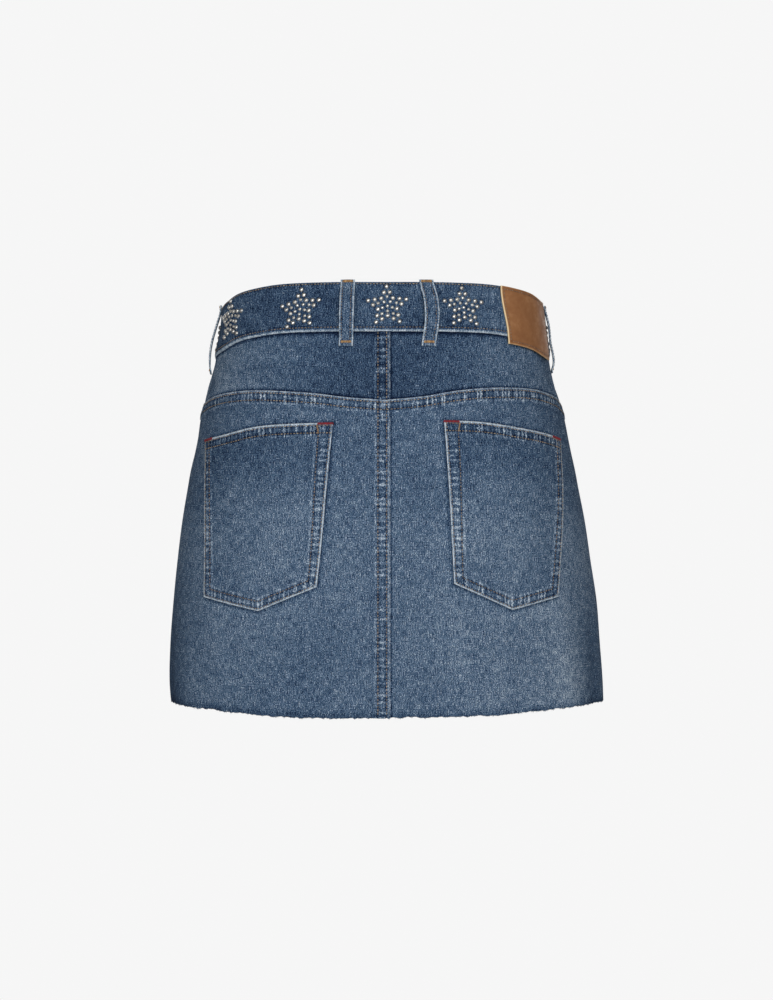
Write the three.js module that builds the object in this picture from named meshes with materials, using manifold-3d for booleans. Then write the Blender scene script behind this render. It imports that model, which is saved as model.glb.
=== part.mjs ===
// A short denim skirt as it stands when it is filled out: a hollow tube of cloth on a general figure.
// Millimetres, +Z up. The front faces -Y, the back +Y, and +X is the wearer's left. The origin is the
// middle of the waist opening, level with the band's top edge at the sides.
//
// Every piece is cut in the cloth's own two measures: u, the way round the body from the centre back
// (plus towards the wearer's left), and z, the height. A third measure, "out", lifts a point off the
// shape that the skirt holds.
import * as THREE from 'three';
import { mergeVertices } from 'three/addons/utils/BufferGeometryUtils.js';
import Module from 'manifold-3d';

// Driving dimensions
const CLOTH = 1.3; // one layer of denim
const BAND_CLOTH = 3; // the band: two layers, turned in along both edges
const LEATHER = 1.4;
const LOOP_CLOTH = 2; // a belt loop: a strip folded in three
const SEAM_GAP = 0.3;
const BAND_HEIGHT = 42.6;
const BAND_EDGE = { round: 1.2, drop: 0.7 };
const LAP = 20; // how far each end of the band goes past the centre front
const LAP_RAMP = 26; // the stretch in which the upper end of the band rises over the lower one
const FLY = { reach: 12, ramp: 20, long: 98, corner: 8, fade: 12 }; // the left front's lap, below the band
const CENTRE_BACK = -4; // the centre back seam lies just off the middle
const SIDE_SEAM = 0.51; // share of the way round from the centre back to the centre front
const RIDGE = { broad: 10.5, slope: 1.5, high: 0.9 }; // a felled seam: the layers turned in under it
const POCKET_EDGE = { broad: 9, slope: 1.4, high: 0.5 };
const POCKET_HEM = 13;
const LOOP = { width: 12, length: 55, above: 1.6 };
const ZIP = { width: 26, thick: 1.2, top: -58, bottom: -160 };
const BUTTON = { radius: 8.5, thick: 2.4, shank: 2.6, drop: 20.4 };
const BUTTONHOLE = { length: 19, width: 6 };

// The shape that the cloth lies on, from above the waist down to the hem: half widths to the wearer's
// left and right, depths to the back and front, and how square the ring is (2 is an ellipse).
const FORM = [
  { z: 16, left: 140.6, right: 137.4, back: 92.8, front: 97.8, square: 2.45 },
  { z: 0, left: 141.2, right: 138.1, back: 95.0, front: 99.5, square: 2.45 },
  { z: -20, left: 142.6, right: 140.6, back: 98.5, front: 101.5, square: 2.45 },
  { z: -42, left: 147.0, right: 143.6, back: 103.0, front: 104.0, square: 2.42 },
  { z: -66, left: 151.8, right: 147.2, back: 109.5, front: 107.0, square: 2.38 },
  { z: -84, left: 157.2, right: 153.4, back: 114.5, front: 109.5, square: 2.34 },
  { z: -102, left: 161.8, right: 158.4, back: 119.0, front: 111.5, square: 2.3 },
  { z: -120, left: 164.4, right: 162.0, back: 122.5, front: 113.0, square: 2.28 },
  { z: -155, left: 171.8, right: 169.1, back: 127.5, front: 115.0, square: 2.25 },
  { z: -191, left: 178.0, right: 176.3, back: 130.0, front: 116.5, square: 2.22 },
  { z: -227, left: 182.5, right: 181.6, back: 131.0, front: 117.5, square: 2.2 },
  { z: -262, left: 186.0, right: 186.9, back: 131.0, front: 118.5, square: 2.2 },
  { z: -297, left: 188.7, right: 189.6, back: 130.5, front: 119.5, square: 2.2 },
  { z: -333, left: 189.6, right: 192.3, back: 130.0, front: 120.0, square: 2.2 },
  { z: -362, left: 187.2, right: 193.2, back: 129.5, front: 120.5, square: 2.2 },
];

// Soft upright folds, each from its top down to the hem, where it is deepest. "at" is the share of the
// way round to the centre front, minus on the wearer's right; a minus rise is a trough.
const FOLDS = [
  { at: 0.36, breadth: 20, rise: 1.3, top: -210 },
  { at: 0.45, breadth: 13, rise: -1.9, top: -170 },
  { at: 0.6, breadth: 17, rise: 1.8, top: -150 },
  { at: 0.7, breadth: 15, rise: -2.3, top: -190 },
  { at: 0.85, breadth: 22, rise: 1.6, top: -220 },
  { at: -0.33, breadth: 17, rise: 1.7, top: -200 },
  { at: -0.41, breadth: 14, rise: -2.2, top: -220 },
  { at: -0.58, breadth: 16, rise: 1.6, top: -170 },
  { at: -0.68, breadth: 18, rise: -2.1, top: -140 },
  { at: -0.82, breadth: 20, rise: 1.9, top: -240 },
];

// Heights along the way round: "round" is the distance from the centre back.
const WAISTLINE = [
  { round: 0, z: 12.6 },
  { round: 50, z: 12.7 },
  { round: 88, z: 12 },
  { round: 110, z: 10 },
  { round: 135, z: 6.2 },
  { round: 155, z: 0.8 },
  { round: 175, z: -2.4 },
  { round: 200, z: -4.4 },
  { round: 260, z: -9.5 },
  { round: 400, z: -15 },
];
const YOKE_SEAM = [
  { round: 0, left: -89, right: -89 },
  { round: 32, left: -86.6, right: -86 },
  { round: 59, left: -83.2, right: -81.3 },
  { round: 85, left: -81.2, right: -78.4 },
  { round: 114, left: -79.8, right: -77.5 },
  { round: 140, left: -80.6, right: -78.4 },
  { round: 161, left: -82.7, right: -81.3 },
  { round: 179, left: -85.4, right: -84.5 },
  { round: 210, left: -92, right: -92 },
];
const HEM = [
  { round: 0, z: -355 },
  { round: 90, z: -354 },
  { round: 180, z: -349.5 },
  { round: 300, z: -350 },
  { round: 510, z: -352 },
];

// Each back pocket's outline: its top edge and point by "round", its two sides by height.
const POCKETS = {
  left: {
    top: [
      { round: 42, z: -108.1 },
      { round: 75, z: -108.6 },
      { round: 111, z: -110.7 },
      { round: 146, z: -116.9 },
      { round: 177, z: -121.3 },
    ],
    sides: [
      { z: -100, inner: 42.2, outer: 179.5 },
      { z: -148, inner: 47, outer: 171.5 },
      { z: -206, inner: 52.2, outer: 166.3 },
      { z: -260, inner: 58.2, outer: 163.9 },
    ],
    point: { innerZ: -245.2, round: 107.9, z: -265.9, outerZ: -255.2, inner: 56.8, outer: 164.1 },
  },
  right: {
    top: [
      { round: 49, z: -105.8 },
      { round: 80, z: -106.6 },
      { round: 114, z: -110.6 },
      { round: 151, z: -115.8 },
      { round: 173, z: -120 },
    ],
    sides: [
      { z: -100, inner: 49.6, outer: 173.4 },
      { z: -157, inner: 53.7, outer: 170.4 },
      { z: -206, inner: 56.4, outer: 163.8 },
      { z: -260, inner: 59.2, outer: 154.6 },
    ],
    point: { innerZ: -242.5, round: 109.4, z: -264.9, outerZ: -254.9, inner: 58.4, outer: 155.3 },
  },
};

// How far a belt loop stands off what is under it, by the distance below its top end.
const LOOP_RISE = [
  { drop: 0, out: 0 },
  { drop: 5, out: 0.2 },
  { drop: 14, out: 4.8 },
  { drop: 24, out: 6 },
  { drop: 34, out: 5.6 },
  { drop: 43, out: 1.6 },
  { drop: 48, out: -1.1 },
  { drop: 55, out: -1.4 },
];
// Where its middle lies at the waist, how far it bows sideways, and its share of that stand-off.
const LOOPS = [
  { name: 'belt_loop_back_left', side: 'left', round: 30.8, bow: 0, stands: 1 },
  { name: 'belt_loop_back_right', side: 'right', round: 35.2, bow: 3.4, stands: 1 },
  { name: 'belt_loop_side_left', side: 'left', round: 189, bow: 0, stands: 0.95 },
  { name: 'belt_loop_side_right', side: 'right', round: 187, bow: 0, stands: 0.8 },
  { name: 'belt_loop_front_left', side: 'left', round: 328, bow: 0, stands: 1.05 },
  { name: 'belt_loop_front_right', side: 'right', round: 326, bow: 0.8, stands: 1.05 },
];
const PATCH = { topInner: -101, topOuter: -160, bottomInner: -109.3, bottomOuter: -168, below: 7 };

const DENIM = { color: 0x45607f, roughness: 0.92, metalness: 0 };
const DENIM_DARK = { color: 0x3d5674, roughness: 0.92, metalness: 0 };
const BROWN_LEATHER = { color: 0x9a643c, roughness: 0.6, metalness: 0 };
const TAPE = { color: 0x33415a, roughness: 0.8, metalness: 0.1 };
const SILVER = { color: 0xb9b4a8, roughness: 0.3, metalness: 1 };

// Cloth measures

/** A smooth curve through a table's rows, read at x; each slope is that of the rows on either side. */
function curve(rows, measure, column, x) {
  const down = rows[0][measure] > rows[rows.length - 1][measure];
  const way = down ? -1 : 1;
  const at = (i) => way * rows[i][measure];
  const last = rows.length - 1;
  const here = Math.min(Math.max(way * x, at(0)), at(last));
  let i = 0;
  while (i < last - 1 && here > at(i + 1)) i++;
  const slope = (k) => {
    const a = Math.max(k - 1, 0);
    const b = Math.min(k + 1, last);
    return (rows[b][column] - rows[a][column]) / (at(b) - at(a));
  };
  const span = at(i + 1) - at(i);
  const t = (here - at(i)) / span;
  return rows[i][column] * (1 + 2 * t) * (1 - t) ** 2
    + rows[i + 1][column] * t * t * (3 - 2 * t)
    + slope(i) * span * t * (1 - t) ** 2
    + slope(i + 1) * span * t * t * (t - 1);
}

/** 0 below the first value, 1 above the second, and a soft step between them. */
function step(from, to, x) {
  const t = Math.min(Math.max((x - from) / (to - from), 0), 1);
  return t * t * (3 - 2 * t);
}

/** A ring's point at an angle from the centre back, plus towards the given side. */
function ringPoint(side, z, angle) {
  const half = curve(FORM, 'z', side, z);
  const deep = curve(FORM, 'z', angle < Math.PI / 2 ? 'back' : 'front', z);
  const square = curve(FORM, 'z', 'square', z);
  const across = Math.sin(angle);
  const along = Math.cos(angle);
  const power = (Math.abs(across) / half) ** square + (Math.abs(along) / deep) ** square;
  const far = power ** (-1 / square);
  return [far * across, far * along];
}

const RING_STEPS = 180;
const rings = new Map();

/** The way round one side of the ring at a height: its length up to each of RING_STEPS angles. */
function wayRound(side, z) {
  const key = side + z.toFixed(1);
  if (!rings.has(key)) {
    const lengths = [0];
    let before = ringPoint(side, z, 0);
    for (let i = 1; i <= RING_STEPS; i++) {
      const point = ringPoint(side, z, (Math.PI * i) / RING_STEPS);
      lengths.push(lengths[i - 1] + Math.hypot(point[0] - before[0], point[1] - before[1]));
      before = point;
    }
    rings.set(key, lengths);
  }
  return rings.get(key);
}

/** The distance from the centre back to the centre front at a height. */
const halfway = (side, z) => wayRound(side, z)[RING_STEPS];

/** The side and the distance from the centre back; past the centre front it is the other side. */
function sideOf(u, z) {
  const side = u < 0 ? 'right' : 'left';
  const half = halfway(side, z);
  if (Math.abs(u) <= half) return { side, round: Math.abs(u) };
  const other = u < 0 ? 'left' : 'right';
  return { side: other, round: halfway(other, z) - (Math.abs(u) - half) };
}

/** The point of the bare ring at u and z. */
function bare(u, z) {
  const { side, round } = sideOf(u, z);
  const lengths = wayRound(side, z);
  let i = 0;
  while (i < RING_STEPS - 1 && lengths[i + 1] < round) i++;
  const share = (round - lengths[i]) / (lengths[i + 1] - lengths[i]);
  const [across, along] = ringPoint(side, z, (Math.PI * (i + share)) / RING_STEPS);
  return new THREE.Vector3(side === 'left' ? across : -across, along, z);
}

/** The direction straight out of the bare ring's surface at u and z. */
function outward(u, z) {
  const reach = 1.5;
  const round = bare(u + reach, z).sub(bare(u - reach, z));
  const up = bare(u, z + reach).sub(bare(u, z - reach));
  return up.cross(round).normalize();
}

/** How far the folds move the cloth out at u and z. */
function folded(u, z) {
  const { side, round } = sideOf(u, z);
  const sign = side === 'left' ? 1 : -1;
  const half = halfway(side, z);
  const hem = HEM[0].z;
  let out = 0;
  for (const fold of FOLDS) {
    if (Math.sign(fold.at) !== sign) continue;
    const away = (round - Math.abs(fold.at) * half) / fold.breadth;
    out += fold.rise * Math.exp(-away * away) * step(0, 1, (fold.top - z) / (fold.top - hem));
  }
  return out;
}

/** The point of the cloth at u and z, lifted out. */
function onCloth(u, z, out) {
  return bare(u, z).addScaledVector(outward(u, z), out + folded(u, z));
}

// Edges that pieces share

const waistline = (u) => curve(WAISTLINE, 'round', 'z', Math.abs(u));
const bandBottom = (u) => waistline(u) - BAND_HEIGHT;
const yokeSeam = (u) => curve(YOKE_SEAM, 'round', u < 0 ? 'right' : 'left', Math.abs(u));
const hem = (u) => curve(HEM, 'round', 'z', Math.abs(u));
const sideSeam = (side, z) => SIDE_SEAM * halfway(side, z);

/** Height of a felled seam's ridge at a distance from its folded edge. */
const ridge = (shape, away) => shape.high * (1 - step(shape.broad - shape.slope, shape.broad, away));

// Solids

/**
 * Places on a length: the "first" distances after its start, "cells" even cells, and the "last"
 * distances before its end.
 */
function places(first, cells, last) {
  const begin = first[first.length - 1];
  const end = last[0];
  const list = first.map((distance) => () => distance);
  for (let i = 1; i < cells; i++) {
    list.push((length) => begin + ((length - begin - end) * i) / cells);
  }
  for (const distance of last) list.push((length) => length - distance);
  return list;
}

/** Where a column and a row of a piece cross, when its sides depend on z and its ends on u. */
function crossing(piece, column, row) {
  let u = 0;
  let z = (piece.top(piece.start(0)) + piece.bottom(piece.start(0))) / 2;
  for (let pass = 0; pass < 6; pass++) {
    const start = piece.start(z);
    const width = piece.end(z) - start;
    u = start + Math.sign(width) * column(Math.abs(width));
    const top = piece.top(u);
    z = top - row(top - piece.bottom(u));
  }
  return { u, z };
}

/** A closed wall over a piece's region, between its "under" and "over" heights off the form. */
function wall(piece) {
  const across = piece.columns.length;
  const down = piece.rows.length;
  const points = [];
  for (const height of [piece.over, piece.under]) {
    for (const row of piece.rows) {
      for (const column of piece.columns) {
        const { u, z } = crossing(piece, column, row);
        points.push(onCloth(u, z, height(u, z)));
      }
    }
  }
  const back = across * down;
  const faces = [];
  const quad = (a, b, c, d) => faces.push(a, b, c, a, c, d);
  for (let r = 0; r < down - 1; r++) {
    for (let c = 0; c < across - 1; c++) {
      const k = r * across + c;
      quad(k, k + across, k + across + 1, k + 1);
      quad(back + k, back + k + 1, back + k + across + 1, back + k + across);
    }
  }
  const rim = [];
  for (let c = 0; c < across - 1; c++) rim.push(c);
  for (let r = 0; r < down - 1; r++) rim.push(r * across + across - 1);
  for (let c = across - 1; c > 0; c--) rim.push((down - 1) * across + c);
  for (let r = down - 1; r > 0; r--) rim.push(r * across);
  rim.forEach((a, i) => {
    const b = rim[(i + 1) % rim.length];
    quad(a, b, back + b, back + a);
  });
  const geometry = new THREE.BufferGeometry().setFromPoints(points);
  geometry.setIndex(volume(points, faces) < 0 ? turned(faces) : faces);
  return geometry;
}

/** Six times the signed volume inside the faces; it is minus when they point in. */
function volume(points, faces) {
  let sum = 0;
  for (let i = 0; i < faces.length; i += 3) {
    const [a, b, c] = [points[faces[i]], points[faces[i + 1]], points[faces[i + 2]]];
    sum += a.dot(b.clone().cross(c));
  }
  return sum;
}

/** The same faces, each turned over. */
function turned(faces) {
  const out = faces.slice();
  for (let i = 0; i < out.length; i += 3) [out[i + 1], out[i + 2]] = [out[i + 2], out[i + 1]];
  return out;
}

const wasm = await Module();
wasm.setup();

/** A geometry as a solid that can be cut. */
function solid(geometry) {
  const vertProperties = new Float32Array(geometry.attributes.position.array);
  const triVerts = new Uint32Array(geometry.index.array);
  return new wasm.Manifold(new wasm.Mesh({ numProp: 3, vertProperties, triVerts }));
}

/** A cut solid's geometry. */
function fromSolid(cut) {
  const mesh = cut.getMesh();
  const geometry = new THREE.BufferGeometry();
  geometry.setAttribute('position', new THREE.Float32BufferAttribute(mesh.vertProperties, 3));
  geometry.setIndex(Array.from(mesh.triVerts));
  return geometry;
}

const skirt = new THREE.Group();

function add(name, geometry, finish) {
  const mesh = new THREE.Mesh(geometry, new THREE.MeshStandardMaterial(finish));
  mesh.name = name;
  skirt.add(mesh);
  return mesh;
}

// Waistband: one strip all the way round. At the centre front its left end laps over its right end.

/** How far the lap lifts the band: only its left end, on and past the centre front. */
function bandLift(u, z) {
  const clear = halfway('left', z) - LAP;
  return (BAND_CLOTH + SEAM_GAP) * step(clear - LAP_RAMP, clear - 2, u);
}

/** The band's edges are folded, so they are thinner than its middle. */
function bandEdge(u, z) {
  const inside = Math.min(waistline(u) - z, z - bandBottom(u));
  return BAND_EDGE.drop * (1 - step(0, BAND_EDGE.round, inside));
}

const band = wall({
  start: (z) => -halfway('right', z) - LAP,
  end: (z) => halfway('left', z) + LAP,
  top: waistline,
  bottom: bandBottom,
  columns: places([0], 100, [0]),
  rows: places([0, BAND_EDGE.round], 2, [BAND_EDGE.round, 0]),
  under: bandLift,
  over: (u, z) => bandLift(u, z) + BAND_CLOTH - bandEdge(u, z),
});

// Button at the centre front: a disc on a shank that goes through the buttonhole.

const buttonZ = waistline(halfway('left', 0)) - BUTTON.drop;
const buttonU = halfway('left', buttonZ);
const buttonSeat = onCloth(buttonU, buttonZ, BAND_CLOTH + SEAM_GAP);
const buttonOut = outward(buttonU, buttonZ);
const turn = new THREE.Quaternion().setFromUnitVectors(new THREE.Vector3(0, 1, 0), buttonOut);
const lapTop = BAND_CLOTH + SEAM_GAP; // from the button's seat to the top of the lap

/** The buttonhole's slot, as a block that crosses the upper end of the band and not the lower one. */
function buttonhole() {
  const depth = BAND_CLOTH * 2;
  const block = new THREE.BoxGeometry(BUTTONHOLE.length, depth, BUTTONHOLE.width);
  block.deleteAttribute('normal');
  block.deleteAttribute('uv');
  const middle = buttonSeat.clone().addScaledVector(buttonOut, depth / 2 - SEAM_GAP / 2);
  block.applyMatrix4(new THREE.Matrix4().compose(middle, turn, new THREE.Vector3(1, 1, 1)));
  return mergeVertices(block);
}

add('waistband', fromSolid(solid(band).subtract(solid(buttonhole()))), DENIM);

/** The button's outline from the foot of its shank to the crown of its disc, turned about its axis. */
function buttonShape() {
  const under = lapTop + SEAM_GAP;
  const top = under + BUTTON.thick;
  const outline = [
    [0, 0],
    [BUTTON.shank, 0],
    [BUTTON.shank, under],
    [BUTTON.radius - 0.6, under],
    [BUTTON.radius, under + 0.6],
    [BUTTON.radius, top - 1.1],
    [BUTTON.radius - 0.7, top - 0.3],
    [BUTTON.radius - 2, top - 0.2],
    [BUTTON.radius - 2.8, top - 0.9],
    [0, top - 0.5],
  ];
  const turned = new THREE.LatheGeometry(outline.map(([r, y]) => new THREE.Vector2(r, y)), 20);
  turned.deleteAttribute('normal');
  turned.deleteAttribute('uv');
  return mergeVertices(turned);
}

const button = add('waist_button', buttonShape(), SILVER);
button.position.copy(buttonSeat);
button.quaternion.copy(turn);

// Body pieces: yokes and panels at the back, panels at the front. "side" is left or right, "way" is +1
// or -1, and each piece stops half a seam gap short of its neighbour.

const HALF_GAP = SEAM_GAP / 2;
const sides = { left: 1, right: -1 };
const RIDGE_STOPS = [0, RIDGE.broad - RIDGE.slope, RIDGE.broad];

/** The centre back seam's edge of a piece, and the side seam's, as u at a height. */
const centreBackEdge = (way) => () => CENTRE_BACK + way * HALF_GAP;
const sideSeamEdge = (side, offset) => (z) => sides[side] * (sideSeam(side, z) + offset);

/** The left pieces' folded edge laps over the right ones along the centre back seam. */
const centreBackRidge = (u) => (u > CENTRE_BACK ? ridge(RIDGE, u - CENTRE_BACK) : 0);

/** The back panels' folded top edge laps over the yoke. */
const yokeRidge = (u, z) => ridge(RIDGE, yokeSeam(u) - z);

for (const [side, way] of Object.entries(sides)) {
  const firstStops = side === 'left' ? RIDGE_STOPS : [0];
  const across = {
    start: centreBackEdge(way),
    end: sideSeamEdge(side, -HALF_GAP),
    under: () => 0,
  };
  add(`back_yoke_${side}`, wall({
    ...across,
    top: (u) => bandBottom(u) - SEAM_GAP,
    bottom: (u) => yokeSeam(u) + HALF_GAP,
    columns: places(firstStops, 18, [0]),
    rows: places([0], 4, [0]),
    over: (u) => CLOTH + centreBackRidge(u),
  }), DENIM_DARK);
  add(`back_panel_${side}`, wall({
    ...across,
    top: (u) => yokeSeam(u) - HALF_GAP,
    bottom: hem,
    columns: places(firstStops, 20, [0]),
    rows: places(RIDGE_STOPS, 13, [0]),
    over: (u, z) => CLOTH + Math.max(centreBackRidge(u), yokeRidge(u, z)),
  }), DENIM);
}

const frontTop = (u) => bandBottom(u) - SEAM_GAP;
const flyFoot = frontTop(halfway('left', 0)) - FLY.long;
const flyReach = (z) => FLY.reach * step(flyFoot, flyFoot + FLY.corner, z);

/** How far the left front's folded edge lifts to lap over the right front. */
function flyLift(u, z) {
  const half = halfway('left', z);
  return (CLOTH + SEAM_GAP) * step(flyFoot - FLY.fade, flyFoot, z) * step(half - FLY.ramp, half - 3, u);
}

const flyRows = places([0, 12, 24, 40, 62, FLY.long - FLY.corner, FLY.long, FLY.long + FLY.fade], 11, [0]);
add('front_panel_left', wall({
  start: sideSeamEdge('left', HALF_GAP),
  end: (z) => halfway('left', z) - HALF_GAP + flyReach(z),
  top: frontTop,
  bottom: hem,
  columns: places([0], 17, [FLY.reach + FLY.ramp, FLY.reach + 11, FLY.reach + 3, FLY.reach / 2, 0]),
  rows: flyRows,
  under: flyLift,
  over: (u, z) => flyLift(u, z) + CLOTH,
}), DENIM);
add('front_panel_right', wall({
  start: sideSeamEdge('right', HALF_GAP),
  end: (z) => -halfway('right', z) + HALF_GAP,
  top: frontTop,
  bottom: hem,
  columns: places([0], 19, [0]),
  rows: flyRows,
  under: () => 0,
  over: () => CLOTH,
}), DENIM);

// Zip: a closed strip of tape and teeth behind the fly.

add('fly_zip', wall({
  start: (z) => halfway('left', z) - ZIP.width / 2,
  end: (z) => halfway('left', z) + ZIP.width / 2,
  top: () => ZIP.top,
  bottom: () => ZIP.bottom,
  columns: places([0], 4, [0]),
  rows: places([0], 8, [0]),
  under: () => -SEAM_GAP - ZIP.thick,
  over: () => -SEAM_GAP,
}), TAPE);

// Back pockets: patch pockets, one on each back panel, pointed at the foot.

/** A pocket's lower edge: two straight lines that meet at its point. */
function pocketFoot(u) {
  const { inner, outer, innerZ, outerZ, round, z } = POCKETS[u < 0 ? 'right' : 'left'].point;
  const away = Math.abs(u);
  if (away < round) return THREE.MathUtils.mapLinear(away, inner, round, innerZ, z);
  return THREE.MathUtils.mapLinear(away, round, outer, z, outerZ);
}

for (const [side, way] of Object.entries(sides)) {
  const start = (z) => way * curve(POCKETS[side].sides, 'z', 'inner', z);
  const end = (z) => way * curve(POCKETS[side].sides, 'z', 'outer', z);
  const top = (u) => curve(POCKETS[side].top, 'round', 'z', Math.abs(u));
  const seat = CLOTH + SEAM_GAP;
  const relief = (u, z) => {
    const inside = Math.min(Math.abs(u - start(z)), Math.abs(end(z) - u), z - pocketFoot(u));
    const folded = ridge(POCKET_EDGE, inside);
    const hemmed = ridge({ ...POCKET_EDGE, broad: POCKET_HEM }, top(u) - z);
    return Math.max(folded, hemmed);
  };
  add(`back_pocket_${side}`, wall({
    start,
    end,
    top,
    bottom: pocketFoot,
    columns: places([0, POCKET_EDGE.broad - POCKET_EDGE.slope, POCKET_EDGE.broad], 8,
      [POCKET_EDGE.broad, POCKET_EDGE.broad - POCKET_EDGE.slope, 0]),
    rows: places([0, POCKET_HEM - POCKET_EDGE.slope, POCKET_HEM], 7,
      [POCKET_EDGE.broad, POCKET_EDGE.broad - POCKET_EDGE.slope, 0]),
    under: () => seat,
    over: (u, z) => seat + CLOTH + relief(u, z),
  }), DENIM);
}

// Belt loops: strips tacked at the band's top edge and below its bottom edge, standing off between.

for (const loop of LOOPS) {
  const top = waistline(loop.round) + LOOP.above;
  const wayThere = loop.round / halfway(loop.side, top);
  const share = (z) => (top - z) / LOOP.length;
  const middle = (z) => sides[loop.side]
    * (wayThere * halfway(loop.side, z) + loop.bow * Math.sin(Math.PI * share(z)));
  const under = (u, z) => {
    const rise = curve(LOOP_RISE, 'drop', 'out', top - z);
    return BAND_CLOTH + SEAM_GAP + (rise > 0 ? loop.stands * rise : rise);
  };
  add(loop.name, wall({
    start: (z) => middle(z) - LOOP.width / 2,
    end: (z) => middle(z) + LOOP.width / 2,
    top: () => top,
    bottom: () => top - LOOP.length,
    columns: places([0], 2, [0]),
    rows: places([0, 5], 10, [7, 0]),
    under,
    over: (u, z) => under(u, z) + LOOP_CLOTH,
  }), DENIM_DARK);
}

// Patch: a plain piece of leather over the band, between the back and side loops on the right.

const patchShare = (z) => step(waistline(PATCH.topInner), bandBottom(PATCH.topInner) - PATCH.below, z);
add('waist_patch', wall({
  start: (z) => THREE.MathUtils.lerp(PATCH.topInner, PATCH.bottomInner, patchShare(z)),
  end: (z) => THREE.MathUtils.lerp(PATCH.topOuter, PATCH.bottomOuter, patchShare(z)),
  top: waistline,
  bottom: (u) => bandBottom(u) - PATCH.below,
  columns: places([0], 10, [0]),
  rows: places([0], 6, [0]),
  under: () => BAND_CLOTH + 1.5 * SEAM_GAP,
  over: () => BAND_CLOTH + 1.5 * SEAM_GAP + LEATHER,
}), BROWN_LEATHER);

export default skirt;
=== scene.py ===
import math

import bpy
import numpy as np
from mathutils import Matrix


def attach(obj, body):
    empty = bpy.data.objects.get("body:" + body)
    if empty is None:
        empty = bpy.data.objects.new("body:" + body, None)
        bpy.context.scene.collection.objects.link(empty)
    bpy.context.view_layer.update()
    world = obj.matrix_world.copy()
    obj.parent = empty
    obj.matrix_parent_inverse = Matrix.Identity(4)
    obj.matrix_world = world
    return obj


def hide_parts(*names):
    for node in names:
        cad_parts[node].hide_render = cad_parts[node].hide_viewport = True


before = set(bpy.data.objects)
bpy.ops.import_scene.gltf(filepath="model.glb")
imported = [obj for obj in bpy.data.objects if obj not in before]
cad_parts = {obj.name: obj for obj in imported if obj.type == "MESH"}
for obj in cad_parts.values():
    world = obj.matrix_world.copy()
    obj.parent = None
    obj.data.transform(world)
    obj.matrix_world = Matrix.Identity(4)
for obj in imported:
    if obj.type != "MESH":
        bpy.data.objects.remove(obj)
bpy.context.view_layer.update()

# Back panels
# Two panels of washed mid-blue denim, joined by a felled seam down the centre back with two rows of
# golden thread, and hanging from the yoke seam to a raw hem. The skirt is filled out on a general figure.
# Its pieces are cut in the cloth's own measures, in millimetres: u is the way round from the centre back,
# plus towards the wearer's left, z the height, and out the lift off the form. Meshes are in metres.

FORM = dict(zip(("z", "left", "right", "back", "front", "square"), np.array([
    (16, 140.6, 137.4, 92.8, 97.8, 2.45),
    (0, 141.2, 138.1, 95.0, 99.5, 2.45),
    (-20, 142.6, 140.6, 98.5, 101.5, 2.45),
    (-42, 147.0, 143.6, 103.0, 104.0, 2.42),
    (-66, 151.8, 147.2, 109.5, 107.0, 2.38),
    (-84, 157.2, 153.4, 114.5, 109.5, 2.34),
    (-102, 161.8, 158.4, 119.0, 111.5, 2.3),
    (-120, 164.4, 162.0, 122.5, 113.0, 2.28),
    (-155, 171.8, 169.1, 127.5, 115.0, 2.25),
    (-191, 178.0, 176.3, 130.0, 116.5, 2.22),
    (-227, 182.5, 181.6, 131.0, 117.5, 2.2),
    (-262, 186.0, 186.9, 131.0, 118.5, 2.2),
    (-297, 188.7, 189.6, 130.5, 119.5, 2.2),
    (-333, 189.6, 192.3, 130.0, 120.0, 2.2),
    (-362, 187.2, 193.2, 129.5, 120.5, 2.2),
]).T))
# Upright folds: share of the way round to the centre front, breadth, rise and top.
FOLDS = [
    (0.36, 20, 1.3, -210), (0.45, 13, -1.9, -170), (0.6, 17, 1.8, -150), (0.7, 15, -2.3, -190),
    (0.85, 22, 1.6, -220), (-0.33, 17, 1.7, -200), (-0.41, 14, -2.2, -220), (-0.58, 16, 1.6, -170),
    (-0.68, 18, -2.1, -140), (-0.82, 20, 1.9, -240),
]
# Soft creases: u, z, the angle of the crease from upright in degrees, half length, half breadth, rise.
CREASES = [
    (202, -72, 24, 20, 5, 1.1), (190, -66, -34, 16, 4, -0.9), (176, -62, 80, 26, 4, 0.5),
    (150, -58, 84, 30, 4, -0.4), (-184, -74, -28, 18, 5, 1.0), (-172, -64, 40, 16, 4, -0.7),
    (-150, -60, 86, 30, 4, 0.4), (96, -50, 82, 34, 4, 0.4), (118, -62, 86, 30, 4, -0.35),
    (150, -300, 12, 60, 12, 0.7), (60, -310, -4, 50, 14, -0.5), (-60, -300, 6, 60, 14, 0.6),
    (-120, -320, -8, 46, 10, -0.7), (-160, -290, 10, 54, 10, 0.6), (30, -150, 5, 50, 9, -0.35),
    (-26, -170, -6, 60, 9, -0.35), (250, -120, 38, 40, 8, 0.8), (300, -110, 62, 44, 7, -0.6),
    (-250, -116, -36, 42, 8, 0.8), (-306, -104, -60, 40, 7, -0.6), (300, -260, 8, 70, 12, 0.7),
    (-330, -250, -6, 70, 13, -0.7), (380, -200, 3, 60, 12, 0.5), (45, -12, 60, 14, 4, 0.3),
    (100, -20, 70, 16, 4, 0.35), (-20, -8, -64, 12, 4, 0.3), (-92, -16, 56, 14, 4, 0.3),
]
YOKE_SEAM = {
    "round": [0, 32, 59, 85, 114, 140, 161, 179, 210],
    "left": [-89, -86.6, -83.2, -81.2, -79.8, -80.6, -82.7, -85.4, -92],
    "right": [-89, -86, -81.3, -78.4, -77.5, -78.4, -81.3, -84.5, -92],
}
HEM = {"round": [0, 90, 180, 300, 510], "z": [-355, -354, -349.5, -350, -352]}
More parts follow.
